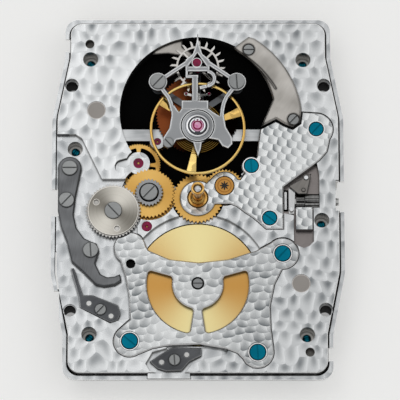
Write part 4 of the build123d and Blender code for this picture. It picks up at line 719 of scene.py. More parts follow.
@dataclass
class Finishes:
    """Every finish on the movement, each made once."""

    made: dict[str, bpy.types.Material] = field(default_factory=dict)

    def build(self) -> None:
        """Make the materials."""
        finishes: list[Finish] = [
            # Rhodium-plated main plate: white silver with large soft oval spots, painted with shade in
            # their cores and to one side. By height, its steps are a little greyer; its groove and a thin
            # band lower down are painted black with shade, its pocket under the keyless works is painted
            # taupe with shade, and its outer wall has the painted shade of its sides. Its bevels carry a
            # painted white highlight and its hollows painted black shade.
            Perlage(
                "rhodium_main_plate", "F8FAFB", "7E8386", roughness=0.27, pitch_mm=1.34, stretch=1.22,
                radius_share=0.74, depth_mm=0.010, wander=0.46, core=0.72, wedge=0.30, wedge_deg=250.0,
                levels=(
                    (3.36, 3.44, 0.30, "B4B7BA"),
                    (3.46, 3.93, 1.0, "0A0A0B"),
                    (3.12, 3.18, 1.0, "050505"),
                    (3.02, 3.10, 1.0, "8E8886"),
                    (0.0, 3.02, 1.0, "C6C5C2"),
                ),
                side="C6C5C2", side_reach_mm=(12.9, 18.2), bevel="FFFFFF", hollow=0.9, hollow_mm=0.22,
            ),
            # The same plating on the bridges, ground with a smaller peg in overlapping rows, with painted
            # shade in its spots, on its sides and in its hollows, and a painted white highlight on its
            # bevels.
            Perlage(
                "rhodium_bridge", "F8FAFA", "8C9194", roughness=0.26, pitch_mm=1.02, row_share=0.74,
                radius_share=0.72, stagger_share=0.40, depth_mm=0.010, turn_deg=12.0, wander=0.24,
                core=0.30, wedge=1.0, wedge_deg=225.0, bevel="FFFFFF", side="6A6B6C", hollow=0.85,
                hollow_mm=0.20,
            ),
            # The same plating on the barrel bridge, with darker painted shade in its spots' cores, painted
            # shade on its sides and in its hollows, and a painted white highlight on its bevels.
            Perlage(
                "rhodium_barrel_bridge", "F8FAFA", "767B7E", roughness=0.26, pitch_mm=1.06,
                row_share=0.74, radius_share=0.72, stagger_share=0.44, depth_mm=0.010, turn_deg=-8.0,
                wander=0.34, core=0.40, wedge=0.80, wedge_deg=250.0, bevel="FFFFFF", side="6A6B6C",
                hollow=0.85, hollow_mm=0.20,
            ),
            # The same plating on the small cock, ground over with the plate, with painted shade in its
            # spots.
            Perlage(
                "rhodium_cock", "F6F8F9", "868B8E", roughness=0.27, pitch_mm=1.34, stretch=1.22,
                radius_share=0.72, depth_mm=0.018, wander=0.42, core=0.60, wedge_deg=250.0,
            ),
            # Straight-brushed rhodium of the back plate: plain and pale, with painted shade in its hollows.
            Brushed("rhodium_brushed", "DDE0E1", "B4B8BA", roughness=0.32, line_mm=0.08, hollow=0.7),
            # The cross beam under the cage: bright, brushed along its length, streaked, with a painted
            # white highlight on its bevels and painted shade on its sides and in its hollows.
            Brushed(
                "rhodium_beam", "F2F4F5", "8E9193", roughness=0.28, line_mm=0.09, contrast=0.6,
                line_contrast=0.5, bevel="FFFFFF", side="2A2A2B", hollow=0.7,
            ),
            # Near black, painted for the shade down the window's well: it takes the light and gives nearly
            # none back.
            Plain(
                "well_shade_black", "040404", "020202", metallic=0.0, roughness=0.85, specular=0.08,
                contrast=0.6,
            ),
            # Heat-blued steel: deep green blue, glossy, with painted shade on its sides and bevels and in
            # its hollows.
            Brushed(
                "blued_steel", "0D839E", "055E76", roughness=0.24, line_mm=0.05, contrast=0.5,
                side="052A38", bevel="0A4A60", hollow=0.45, hollow_mm=0.20,
            ),
            # The same blue seen deep in a hole: darker, with its edge in shade.
            Brushed(
                "blued_steel_in_shade", "0C86A0", "045A6C", roughness=0.24, line_mm=0.05, contrast=0.6,
                edge="01161C", edge_mm=0.22, side="021218", bevel="052C36", hollow=0.5,
            ),
            # Polished steel of arbors and pillars: bright, with painted shade in its corners.
            Brushed(
                "polished_steel", "D8D8D6", "A9A9A8", roughness=0.20, line_mm=0.05, hollow=0.85,
                hollow_mm=0.15,
            ),
            # Steel of the screw heads: mid grey, with its slots painted black with shade.
            Brushed(
                "screw_steel", "A6A8A8", "7C7E7E", roughness=0.28, line_mm=0.05, line_contrast=0.5,
                side="141415", hollow=1.0, hollow_mm=0.30,
            ),
            # Fine-brushed steel of the cage bridge: mid grey with bright polished edges, painted as
            # highlights on its edges and bevels, and with painted shade below its top, on its sides and in
            # its hollows.
            Brushed(
                "cage_steel", "A3A5A7", "85878A", line_mm=0.05, turn_deg=90.0,
                levels=((3.0, 6.26, 1.0, "1C1D1E"),), edge="EEF0F1", edge_mm=0.22, bevel="FFFFFF",
                side="3A3C3E", hollow=0.6, hollow_mm=0.18,
            ),
            # The same steel on the cage plate, painted darker with the shade below the bridge, and with
            # painted shade on its sides and in its hollows.
            Brushed("cage_plate_steel", "6E7073", "4A4C4F", line_mm=0.05, side="3A3C3E", hollow=0.9),
            # Satin steel of the guard: warm taupe grey with a darker bevel, painted as shade along its
            # edges, and painted shade on its sides and in its hollows.
            Brushed(
                "satin_steel", "E6E2DC", "96928C", roughness=0.34, turn_deg=-55.0, contrast=0.6,
                line_contrast=0.45, edge="4A4846", edge_mm=0.20, side="2E2E2E", hollow=0.9,
                hollow_mm=0.15,
            ),
            # Dark brushed steel of the setting lever, painted black with shade at its edges, on its sides
            # and in its hollows.
            Brushed(
                "setting_steel", "A6A29D", "6E6B68", roughness=0.34, turn_deg=-62.0, contrast=0.7,
                line_contrast=0.7, edge="2A2A2A", edge_mm=0.09, side="1C1C1C", hollow=0.9,
            ),
            # Ridged steel of the clutch and the winding pinion: dark, with fine bright ridges and painted
            # shade in its hollows.
            Brushed(
                "ridged_steel", "C2C2C0", "3E3E3F", line_mm=0.14, line_contrast=0.9, contrast=0.15,
                turn_deg=90.0, hollow=0.9, hollow_mm=0.12,
            ),
            # Straight-brushed steel of the yoke: bright, with painted shade on its sides.
            Brushed(
                "bright_steel", "E2E3E3", "BEC0C1", roughness=0.24, line_mm=0.05, turn_deg=90.0,
                side="3C3C3C",
            ),
            # Straight-brushed steel of the corrector lever: dark grey, painted nearly black with shade at
            # its edges, and with painted shade on its sides and in its hollows.
            Brushed(
                "grey_steel", "929496", "48494B", roughness=0.34, turn_deg=-80.0, contrast=0.5,
                line_contrast=0.55, edge="2C2D2F", edge_mm=0.13, side="121213", hollow=0.9,
                hollow_mm=0.18,
            ),
            # Darker steel of the two flat springs, with a bright polished bevel painted as a highlight on
            # its bevels and edges, and painted shade on its sides and in its hollows.
            Brushed(
                "flat_spring_steel", "6C6E71", "38393B", roughness=0.32, turn_deg=-30.0, contrast=0.5,
                line_contrast=0.5, edge="A4A6A8", edge_mm=0.08, bevel="C8CACC", side="101011", hollow=0.9,
                hollow_mm=0.18,
            ),
            # Hardened spring steel: blue grey.
            Brushed("spring_steel", "7D7F86", "4A4C55", line_mm=0.05),
            # Synthetic ruby: deep wine red, glassy.
            Plain(
                "ruby", "A0004A", "4E0024", metallic=0.0, roughness=0.12, specular=0.25, cloud_mm=0.4,
                contrast=0.7,
            ),
            # Pale synthetic ruby of the balance jewel: pink and glassy, clouded.
            Plain(
                "pink_ruby", "FFD2EA", "E86CB2", metallic=0.0, roughness=0.12, cloud_mm=0.28,
                contrast=1.0,
            ),
            # Turned nickel discs: flat warm grey with a paler rim, painted as a highlight along the edge.
            Brushed("nickel_disc", "A8A39E", "918C88", roughness=0.42, edge="E2DEDA", edge_mm=0.10),
        ]
        for finish in finishes:
            self.made[finish.name] = finish.material()

    def __getitem__(self, name: str) -> bpy.types.Material:
        """The material of that name."""
        return self.made[name]


@dataclass
class SubAssembly(ABC):
    """Pieces that belong together in the real movement: CAD nodes to dress and pieces to make."""

    finishes: Finishes
    LOOKS: ClassVar[dict[str, tuple[str, ...]]] = {}

    def build(self) -> None:
        """Dress the nodes listed under each finish, then make what the solids draw plainly."""
        for finish, nodes in self.LOOKS.items():
            for node in nodes:
                dress(node, self.finishes[finish])
        self.make()
        LOG.info("%s built", type(self).__name__)

    @abstractmethod
    def make(self) -> None:
        """Make the new pieces, and the finishes that are turned about a piece's own axis."""


@dataclass
class Plates(SubAssembly):
    """The main plate, the back plate, the window's well and the bridges."""

    LOOKS = {
        "rhodium_main_plate": ("base_plate",),
        "rhodium_brushed": ("back_plate",),
        "rhodium_bridge": ("train_bridge", "setting_block"),
        "rhodium_barrel_bridge": ("barrel_bridge",),
        "rhodium_cock": ("third_cock",),
        "rhodium_beam": ("cage_lower_bridge",),
        "well_shade_black": ("tourbillon_well",),
        "satin_steel": ("side_arm", "guard"),
        "nickel_disc": ("plug_discs",),
        "ruby": ("train_jewels",),
    }
    case_hole_x_mm: float = 12.70
    case_hole_y_mm: Pair = (11.525, -11.675)
    case_hole_radius_mm: float = 0.60
    case_hole_levels_mm: Pair = (0.30, 3.15)
    bridge_hole_mm: Pair = (-6.67, -7.027)
    bridge_hole_radius_mm: float = 0.48
    bridge_hole_levels_mm: Pair = (3.46, 3.98)
    foot_holes_mm: tuple[Pair, ...] = ((-10.92, 15.894), (11.09, -15.982))
    foot_hole_radius_mm: float = 0.46
    foot_hole_levels_mm: Pair = (3.12, 3.90)
    lining_mm: float = 0.02

    def cup(self, radius: float, levels: Pair) -> np.ndarray:
        """The profile of a thin lining with a floor, drawn in to its middle.

        Args:
            radius: The hole's radius in millimetres.
            levels: The floor's underside and the lining's top, in millimetres.

        Returns:
            Radius and height pairs.
        """
        low, top = levels
        far = radius - self.lining_mm / 2
        near, floor = far - self.lining_mm, low + self.lining_mm
        return np.array([[0.0, low], [far, low], [far, top], [near, top], [near, floor], [0.0, floor]])

    def make(self) -> None:
        """Make the dark linings painted with the shade of the case holes' walls, and the painted shade on
        the bottoms of the other small holes.

        A case hole's lining is an open ring turned inside its wall, the others are cups.
        """
        shape = Surface()
        low, top = self.case_hole_levels_mm
        far = self.case_hole_radius_mm - self.lining_mm / 2
        near = far - self.lining_mm
        profile = np.array([[near, low], [far, low], [far, top], [near, top]])
        for side in (-1, 1):
            for along in self.case_hole_y_mm:
                shape.turn(profile, (side * self.case_hole_x_mm, along), segments=40)
        cup = self.cup(self.bridge_hole_radius_mm, self.bridge_hole_levels_mm)
        shape.turn(cup, self.bridge_hole_mm, segments=40, closed=False)
        foot_cups = Surface()
        cup = self.cup(self.foot_hole_radius_mm, self.foot_hole_levels_mm)
        for centre in self.foot_holes_mm:
            foot_cups.turn(cup, centre, segments=40, closed=False)
        # Painted shade: near black on the case holes' walls and the bridge hole's bottom, taking the light,
        # and the drilled nickel of the foot holes' bottoms a clouded grey of shade.
        dark = Plain("hole_wall_shade", "0B0B0C", "040404", metallic=0.0, roughness=0.6, specular=0.15)
        grey = Plain("shaded_nickel", "8A8884", "5E5C5A", roughness=0.5, cloud_mm=0.3, contrast=0.8)
        for linings, name, finish in (
            (shape, "hole_shade_linings", dark),
            (foot_cups, "foot_hole_linings", grey),
        ):
            piece = linings.piece(name, finish.material())
            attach(piece, "movement")


@dataclass
class Wheel:
    """A wheel with graining about its own arbor."""

    node: str
    centre_mm: Pair
    base: str = "F2C572"
    shade: str = "C48E3B"
    contrast: float = 0.45
    hollow: float = 0.85
    line_contrast: float = 0.25

    def dress(self) -> None:
        """Give the node its own round-grained gilt."""
        # Gilt brass, turned on its arbor: warm gold with two painted bands of reflected light across it,
        # and painted shade in its hollows.
        finish = Brushed(
            f"gilt_brass_{self.node}", self.base, self.shade, grain=Grain.ROUND, axis_mm=self.centre_mm,
            rays=2, contrast=self.contrast, hollow=self.hollow, hollow_mm=0.20,
            line_contrast=self.line_contrast,
        )
        dress(self.node, finish.material())


def like_solids(node: str, apart_mm: float = 2.2) -> list[tuple[float, float, float, float]]:
    """Each separate solid of a CAD node that holds a group of like ones.

    Args:
        node: The node's name.
        apart_mm: Points nearer than this to a solid's first point belong to it.

    Returns:
        For each solid, its middle across and along, its head's radius and its top, in millimetres.
    """
    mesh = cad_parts[node].data
    flat = np.empty(len(mesh.vertices) * 3)
    mesh.vertices.foreach_get("co", flat)
    left = flat.reshape(-1, 3) / MM
    found = []
    while len(left):
        near = np.linalg.norm(left[:, :2] - left[0, :2], axis=1) < apart_mm
        low, high = left[near].min(axis=0), left[near].max(axis=0)
        found.append(((low[0] + high[0]) / 2, (low[1] + high[1]) / 2, (high[0] - low[0]) / 2, high[2]))
        left = left[~near]
    return found


def middle(node: str) -> Pair:
    """The middle of a CAD node's box, in millimetres."""
    low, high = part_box(node)
    return ((low[0] + high[0]) / 2 / MM, (low[1] + high[1]) / 2 / MM)


@dataclass
class GoingTrain(SubAssembly):
    """The barrel, the wheels and their arbors."""

    LOOKS = {
        "polished_steel": ("ratchet_wheel", "crown_wheel", "winding_wheel", "click", "centre_arbor"),
        "spring_steel": ("mainspring",),
    }
    cannon_mm: tuple[float, float, float, float] = (0.40, 0.46, 0.66, 0.98)
    cannon_levels_mm: tuple[float, float, float] = (3.82, 4.10, 7.74)
    notch_level_mm: float = 5.9
    notch_height_mm: float = 0.9
    notch_share: float = 0.10
    arbor_end_mm: float = 0.385
    arbor_end_top_mm: float = 7.72
    leaves: int = 8
    leaf_radius_mm: float = 0.46
    leaf_top_mm: float = 4.16

    def make(self) -> None:
        """Dress each wheel about its own arbor, and make the cannon pinion and the small ends."""
        for node in (
            "centre_wheel", "intermediate_wheel", "intermediate_lower_wheel", "second_wheel", "third_wheel",
            "fourth_wheel", "setting_wheel",
        ):
            Wheel(node, middle(node)).dress()
        Wheel(
            "calendar_wheel", middle("calendar_wheel"), "DAD8D4", "A19E99", contrast=0.6, hollow=0.45
        ).dress()
        Wheel(
            "barrel_drum", middle("barrel_drum"), "FFF0B0", "D29848", contrast=0.90, line_contrast=0.05
        ).dress()
        # Steel turned on its arbor: two wide grey fans of painted shade between bright ones of painted
        # reflected light, a bright rim painted as a highlight along its edge, and painted black shade in
        # its hollows.
        disc = Brushed(
            "turned_steel_disc", "ECE8DE", "7E7A72", grain=Grain.ROUND, roughness=0.28,
            axis_mm=middle("calendar_disc"), rays=2, ray_deg=60.0, contrast=0.75, line_contrast=0.45,
            line_mm=0.09, hollow=1.0, hollow_mm=0.30, edge="F2EEE6", edge_mm=0.08,
        )
        dress("calendar_disc", disc.material())
        for node, base, shade, ring in (
            ("intermediate_pinion", "A2A3A4", "7C7D7E", (1.0, "121314")),
            ("barrel_arbor", "202122", "101112", (0.48, "8C8E8F")),
        ):
            # Round-grained steel whose middle has another tone: black in grey, painted as the shade round
            # the screw head on it, and grey in black; painted bands of reflected light run across both, and
            # painted shade lies in their hollows.
            ringed = Brushed(
                f"ringed_steel_{node}", base, shade, grain=Grain.ROUND, roughness=0.26,
                axis_mm=middle(node), rays=2, hollow=0.9, hollow_mm=0.15, bands=(ring,),
            )
            dress(node, ringed.material())
        # Turned bronze: brown-black outside, then bright rings with a shaded one between them.
        bush = Brushed(
            "turned_bronze", "2E1C0E", "1C1008", grain=Grain.ROUND, roughness=0.34,
            axis_mm=middle("bronze_bush"), rays=2,
            bands=((0.91, "C8924C"), (0.70, "A06C34"), (0.62, "C8924C")),
        )
        dress("bronze_bush", bush.material())
        self.cannon_pinion()
        self.arbor_end()
        self.bush_centre()

    def cannon_pinion(self) -> None:
        """The tube that takes the minute hand: collar, waist and ringed top, turned about the arbor.

        Two notches are pressed in its waist: there the radius falls by the eighth power of the
        turn's cosine, times one less the square of the height from the notch's middle.
        """
        centre = middle("cannon_pinion")
        bore, waist, ring, collar = self.cannon_mm
        low, flange, top = self.cannon_levels_mm
        neck_top = top - 0.62
        neck = np.linspace(flange + 0.35, neck_top, 14)
        tube = np.stack([waist + 0.10 * ((neck_top - neck) / (top - flange)) ** 2, neck], axis=1)
        start = [[bore, low], [collar, low], [collar, flange - 0.06], [collar - 0.06, flange]]
        flare = [[waist + 0.30, flange], [waist + 0.24, flange + 0.20]]
        crown = [
            [waist, top - 0.52], [ring - 0.05, top - 0.48], [ring, top - 0.42], [ring, top - 0.06],
            [ring - 0.06, top], [bore + 0.08, top], [bore, top - 0.07],
        ]
        profile = np.vstack([start, flare, tube, crown])
        grid = revolve(profile, centre, 96)
        turn = np.linspace(0, 2 * np.pi, 96, endpoint=False)[:, None]
        level = (profile[None, :, 1] - self.notch_level_mm) / self.notch_height_mm
        dent = np.cos(turn) ** 8 * np.clip(1 - level**2, 0, 1)
        axis = np.array(centre)
        grid[..., :2] = axis + (grid[..., :2] - axis) * (1 - self.notch_share * dent[..., None])
        shape = Surface()
        shape.add(grid, True, True)
        # Gilt brass, turned and polished: sharp gold with brown shade along it.
        gilt = Brushed(
            "gilt_tube", "FFD07A", "B0742A", grain=Grain.ROUND, roughness=0.16, axis_mm=centre, rays=3,
            contrast=0.6, hollow=0.7, hollow_mm=0.3,
        )
        piece = shape.piece("cannon_pinion_tube", gilt.material())
        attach(piece, "centre")
        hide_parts("cannon_pinion")

    def arbor_end(self) -> None:
        """The domed end of the centre arbor in the cannon pinion: it falls with the radius squared."""
        share = np.linspace(0, 1, 10)
        radius, top = self.arbor_end_mm, self.arbor_end_top_mm
        dome = np.stack([radius * share, top - 0.14 * share**2], axis=1)
        profile = np.vstack([dome, [[radius, top - 0.5], [0.0, top - 0.5]]])
        shape = Surface()
        shape.turn(profile, middle("cannon_pinion"), segments=40, closed=False)
        # Polished steel: a bright dot in the tube.
        bright = Plain("polished_arbor", "E6E8EA", "B4B8BC", roughness=0.12, cloud_mm=0.3, contrast=0.6)
        piece = shape.piece("centre_arbor_end", bright.material())
        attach(piece, "centre")

    def bush_centre(self) -> None:
        """The dark leaves in the bush: a thin plate whose radius swings eight times in one turn."""
        centre = middle("bronze_bush")
        turn = np.linspace(0, 2 * np.pi, 96, endpoint=False)[:, None]
        reach = self.leaf_radius_mm * (0.72 + 0.28 * np.cos(self.leaves * turn))
        low, top = self.leaf_top_mm - 0.02, self.leaf_top_mm
        radius = reach * np.array([[0.0, 1.0, 1.0, 0.0]])
        shape = Surface()
        shape.add(around(centre, radius, turn, np.array([[low, low, top, top]])), True, False)
        # Steel, nearly black: it gives nearly no light.
        dark = Plain("near_black_steel", "1A1614", "0A0807", metallic=0.0, roughness=0.5)
        piece = shape.piece("setting_pinion_leaves", dark.material(), smooth=False)
        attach(piece, "movement")


@dataclass
class Tourbillon(SubAssembly):
    """The cage, the escapement and the balance."""

    LOOKS = {
        "cage_steel": ("cage_bridge",),
        "cage_plate_steel": ("cage_plate",),
        "polished_steel": ("cage_pillars", "cage_arbor", "escape_arbor", "pallet_lever", "balance_staff"),
        "screw_steel": ("cage_screws",),
        "ruby": ("cage_jewels", "pallet_stones"),
    }
    escape_mm: tuple[float, float, float, float] = (1.98, 2.17, 2.64, 2.83)
    escape_levels_mm: Pair = (4.72, 4.88)
    escape_chamfer_mm: float = 0.02
    escape_arm_mm: float = 0.22
    tooth_phases: tuple[float, float, float] = (0.62, 0.70, 0.94)
    escape_teeth: int = 20
    escape_arms: int = 4
    escape_hub_mm: Pair = (0.16, 0.46)
    staff_mm: float = 0.19
    hub_mm: float = 0.55
    rim_radius_mm: float = 4.66
    rim_width_mm: float = 0.29
    rim_corner_mm: float = 0.09
    rim_bottom_mm: float = 5.16
    rim_top_mm: float = 5.46
    spoke_deg: float = 22.0
    spoke_start_mm: float = 0.45
    spoke_half_mm: Pair = (0.10, 0.50)
    spoke_height_mm: float = 0.24
    spoke_flare: float = 1.3
    spokes: int = 3
    spring_inner_mm: float = 0.62
    spring_turns: int = 11
    spring_pitch_mm: float = 0.185
    spring_level_mm: float = 5.70
    collet_mm: float = 0.64
    collet_levels_mm: Pair = (5.60, 5.80)
    blade_mm: Pair = (0.044, 0.14)
    bridge_top_mm: float = 6.30
    setting_height_mm: float = 0.03
    setting_radius_mm: float = 1.50
    setting_bevel_mm: float = 0.02
    lyre_radius_mm: float = 0.72
    lyre_deg: Pair = (-68.0, 248.0)
    lyre_lift_mm: float = 0.06
    lyre_wire_mm: tuple[float, float, float] = (0.16, 0.10, 0.03)
    leg_aside_mm: float = 0.30
    leg_bow_mm: float = 0.16
    leg_reach_mm: Pair = (0.04, 0.38)
    jewel_radius_mm: float = 0.60

    def make(self) -> None:
        """Dress the fixed wheel about its own axis, and make the moving pieces and the shock setting."""
        # Copper alloy, turned: warm brown on the side painted as lit, falling to painted black shade on the
        # other, with painted shade in its hollows.
        copper = Brushed(
            "copper_alloy", "A85C34", "080302", grain=Grain.ROUND, roughness=0.42, line_mm=0.07,
            axis_mm=middle("fixed_wheel"), contrast=2.0, ray_deg=172.0, hollow=0.9,
        )
        dress("fixed_wheel", copper.material())
        self.escape_wheel()
        self.balance()
        self.hairspring()
        self.shock_spring()

    def escape_wheel(self) -> None:
        """The escape wheel: a rim with club teeth, a hub and arms.

        Along a tooth's pitch the rim's outer radius is the root's, rises by a smooth step to the
        head, slopes up a little over the head and falls at once to the root.
        """
        centre = middle("escape_wheel")
        inner, root, head, tip = self.escape_mm
        low, top = self.escape_levels_mm
        steps = self.escape_teeth * 24
        turn = np.linspace(0, 2 * np.pi, steps, endpoint=False)
        phase = (turn * self.escape_teeth / (2 * np.pi)) % 1.0
        foot, shoulder, heel = self.tooth_phases
        climb = np.clip((phase - foot) / (shoulder - foot), 0, 1)
        rise = climb**2 * (3 - 2 * climb)
        over = np.clip((phase - shoulder) / (heel - shoulder), 0, 1)
        outer = np.where(phase > heel, root, root + (head - root) * rise + (tip - head) * over)
        chamfer = self.escape_chamfer_mm
        bore = np.full_like(outer, inner)
        radius = np.stack([bore, outer - chamfer, outer, outer, outer - chamfer, bore], axis=1)
        height = np.array([[low, low, low + chamfer, top - chamfer, top, top]])
        shape = Surface()
        shape.add(around(centre, radius, turn[:, None], height), True, True)
        hole, rim = self.escape_hub_mm
        hub = np.array([[hole, low], [rim, low], [rim, top], [hole, top]])
        shape.turn(hub, centre, segments=40)
        box = rounded_box(self.escape_arm_mm, top - low - 0.01, 0.02)
        for index in range(self.escape_arms):
            angle = math.radians(45 + 360 * index / self.escape_arms)
            path = around(centre, np.array([rim - 0.06, inner + 0.04]), angle, (low + top) / 2)
            shape.sweep(path, box)
        # Polished steel of the escape wheel: pale, with painted shade on the upright sides of its teeth.
        pale = Brushed(
            "escape_steel", "E6E4E0", "A09C96", roughness=0.22, line_mm=0.05, contrast=0.6, side="3A3836",
        )
        piece = shape.piece("escape_wheel_club_teeth", pale.material(), smooth=False)
        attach(piece, "escape")
        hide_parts("escape_wheel")

    def balance(self) -> None:
        """The balance: a rim with a round-cornered section, a hub, and spokes that widen to the rim.

        A spoke's point (u, v) lies u of the way from hub to rim, its section stretched across by the
        width there.
        """
        centre = middle("balance_wheel")
        height = self.rim_top_mm - self.rim_bottom_mm
        level = (self.rim_top_mm + self.rim_bottom_mm) / 2
        section = rounded_box(self.rim_width_mm, height, self.rim_corner_mm)
        shape = Surface()
        shape.turn(section + [self.rim_radius_mm, level], centre, segments=160)
        hub = hub_profile(self.staff_mm, self.hub_mm, (self.rim_bottom_mm, self.rim_top_mm), chamfer=0.05)
        shape.turn(hub, centre, segments=48)
        box = rounded_box(2.0, self.spoke_height_mm, 0.05)
        start, end = self.spoke_start_mm, self.rim_radius_mm
        along = np.linspace(start, end - 0.02, 12)[:, None]
        narrow, wide = self.spoke_half_mm
        half = narrow + (wide - narrow) * ((along - start) / (end - start)) ** self.spoke_flare
        spoke = np.stack(np.broadcast_arrays(along, half * box[:, 0], level + box[:, 1]), axis=-1)
        for index in range(self.spokes):
            turn = math.radians(self.spoke_deg + 360 * index / self.spokes)
            spin = np.array([[math.cos(turn), -math.sin(turn)], [math.sin(turn), math.cos(turn)]])
            turned = np.concatenate([spoke[..., :2] @ spin.T + np.array(centre), spoke[..., 2:]], axis=-1)
            shape.add(end_caps(turned), False, True)
        # Gilt brass, polished: bright gold with two soft painted bands of reflected light and shade.
        gilt = Brushed(
            "gilt_balance", "FFE08E", "CF963E", grain=Grain.ROUND, roughness=0.18, axis_mm=centre, rays=2,
            contrast=0.45,
        )
        piece = shape.piece("balance_rim_and_spokes", gilt.material())
        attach(piece, "balance")
        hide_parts("balance_wheel")

    def hairspring(self) -> None:
        """The hairspring: a thin blade along a spiral whose radius grows evenly with its turn."""
        centre = middle("balance_wheel")
        turn = np.linspace(0, 2 * np.pi * self.spring_turns, 48 * self.spring_turns)
        radius = self.spring_inner_mm + self.spring_pitch_mm * turn / (2 * np.pi)
        path = around(centre, radius, turn, self.spring_level_mm)
        half, rise = self.blade_mm[0] / 2, self.blade_mm[1] / 2
        blade = np.array([[half, rise], [-half, rise], [-half, -rise], [half, -rise]])
        shape = Surface()
        shape.sweep(path, blade)
        collet = hub_profile(self.staff_mm, self.collet_mm, self.collet_levels_mm, chamfer=0.04)
        shape.turn(collet, centre, segments=40)
        # Spring alloy: dull gold lines that turn to brown.
        bronze = Brushed(
            "hairspring_alloy", "A8843E", "3A2C12", roughness=0.28, line_mm=0.05, contrast=0.7,
        )
        piece = shape.piece("hairspring_blade", bronze.material(), smooth=False)
        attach(piece, "balance")
        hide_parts("hairspring")

    def shock_spring(self) -> None:
        """The shock setting: a turned disc with its rings, the dark ones painted shade, an open lyre spring
        and the domed cap jewel.

        The spring's path is an arc that is open at one side, carried with a rounded section, and two
        legs that bow towards each other by a sine, from the arc in to the jewel.
        """
        centre = middle("balance_wheel")
        low, top = self.bridge_top_mm, self.bridge_top_mm + self.setting_height_mm
        inner, outer, bevel = self.jewel_radius_mm, self.setting_radius_mm, self.setting_bevel_mm
        rings = Surface()
        profile = np.array(
            [[inner, low], [outer, low], [outer, top - bevel / 2], [outer - bevel, top], [inner, top]]
        )
        rings.turn(profile, centre, segments=72)
        # Steel turned in rings: a white polished ring between dark rings painted with shade, and grey round
        # them, with two painted bands of reflected light across the turning.
        turned = Brushed(
            "turned_setting", "ABADAF", "8D8F92", grain=Grain.ROUND, roughness=0.26, axis_mm=centre,
            rays=2,
            bands=(
                (1.24, "3C3D40"), (1.19, "B9BCC0"), (1.08, "FFFFFF"), (0.99, "26272A"), (0.93, "4A4C50"),
            ),
        )
        disc = rings.piece("shock_setting", turned.material())
        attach(disc, "cage")
        level = top + self.lyre_lift_mm
        path = around(centre, self.lyre_radius_mm, np.radians(np.linspace(*self.lyre_deg, 60)), level)
        section = rounded_box(*self.lyre_wire_mm)
        shape = Surface()
        shape.sweep(path, section)
        reach = np.linspace(0, 1, 14)
        aside = self.leg_aside_mm - self.leg_bow_mm * np.sin(np.pi * reach)
        start, end = self.leg_reach_mm
        along = centre[1] + self.lyre_radius_mm - start - (end - start) * reach
        for side in (-1, 1):
            leg = np.stack([centre[0] + side * aside, along, 0 * reach + level], axis=1)
            shape.sweep(leg, section)
        # Polished spring steel: nearly white.
        bright = Plain("polished_spring_steel", "F6F8FA", "D8DADC", roughness=0.16, cloud_mm=0.3)
        piece = shape.piece("shock_spring", bright.material())
        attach(piece, "cage")
        shares = np.array([0.0, 1.0, 1.0, 0.76 / 0.90, 0.50, 0.0])
        dome = np.stack([inner * shares, low + np.array([0.0, 0.0, 0.06, 0.14, 0.21, 0.23])], axis=1)
        jewel = Surface()
        jewel.turn(dome, centre, segments=40, closed=False)
        stone = jewel.piece("balance_cap_jewel", self.finishes["pink_ruby"])
        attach(stone, "cage")


@dataclass
class Keyless(SubAssembly):
    """The stem, its pinions, the setting lever, the yoke and the corrector lever with its springs."""

    LOOKS = {
        "polished_steel": ("winding_stem",),
        "ridged_steel": ("winding_pinion", "sliding_clutch"),
        "setting_steel": ("setting_lever",),
        "bright_steel": ("yoke",),
        "grey_steel": ("corrector_lever",),
        "flat_spring_steel": ("jumper_spring", "barrel_spring"),
    }
    slot_middle_mm: Pair = (8.80, -0.28)
    slot_mm: Pair = (0.54, 2.20)
    slot_wall_mm: float = 0.32
    slot_level_mm: float = 3.08

    def make(self) -> None:
        """Make the slot beside the yoke: a dark rounded plate painted with the shade of its wall, and a
        smaller bright one for its floor.

        Each is a rounded rectangle drawn in to its middle at two levels.
        """
        # A milled slot: its wall is painted black with shade, and its plated floor is bright.
        wall = Plain("slot_wall_shade", "060606", "020202", metallic=0.0, roughness=0.8, specular=0.08)
        floor = Plain("slot_floor_metal", "F4F5F5", "C8CACB", roughness=0.26, cloud_mm=0.5, contrast=0.8)
        share = np.array([0.0, 1.0, 1.0, 0.0])[:, None, None]
        for name, finish, shrink, top in (
            ("yoke_slot_wall", wall, 0.0, self.slot_level_mm),
            ("yoke_slot_floor", floor, self.slot_wall_mm, self.slot_level_mm + 0.01),
        ):
            outline = rounded_box(self.slot_mm[0] - shrink, self.slot_mm[1] - shrink, 0.12)
            flat = np.array(self.slot_middle_mm) + share * outline
            height = np.array([top - 0.02, top - 0.02, top, top])[:, None, None] + 0 * flat[..., :1]
            shape = Surface()
            shape.add(np.concatenate([flat, height], axis=-1), False, True)
            piece = shape.piece(name, finish.material(), smooth=False)
            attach(piece, "movement")


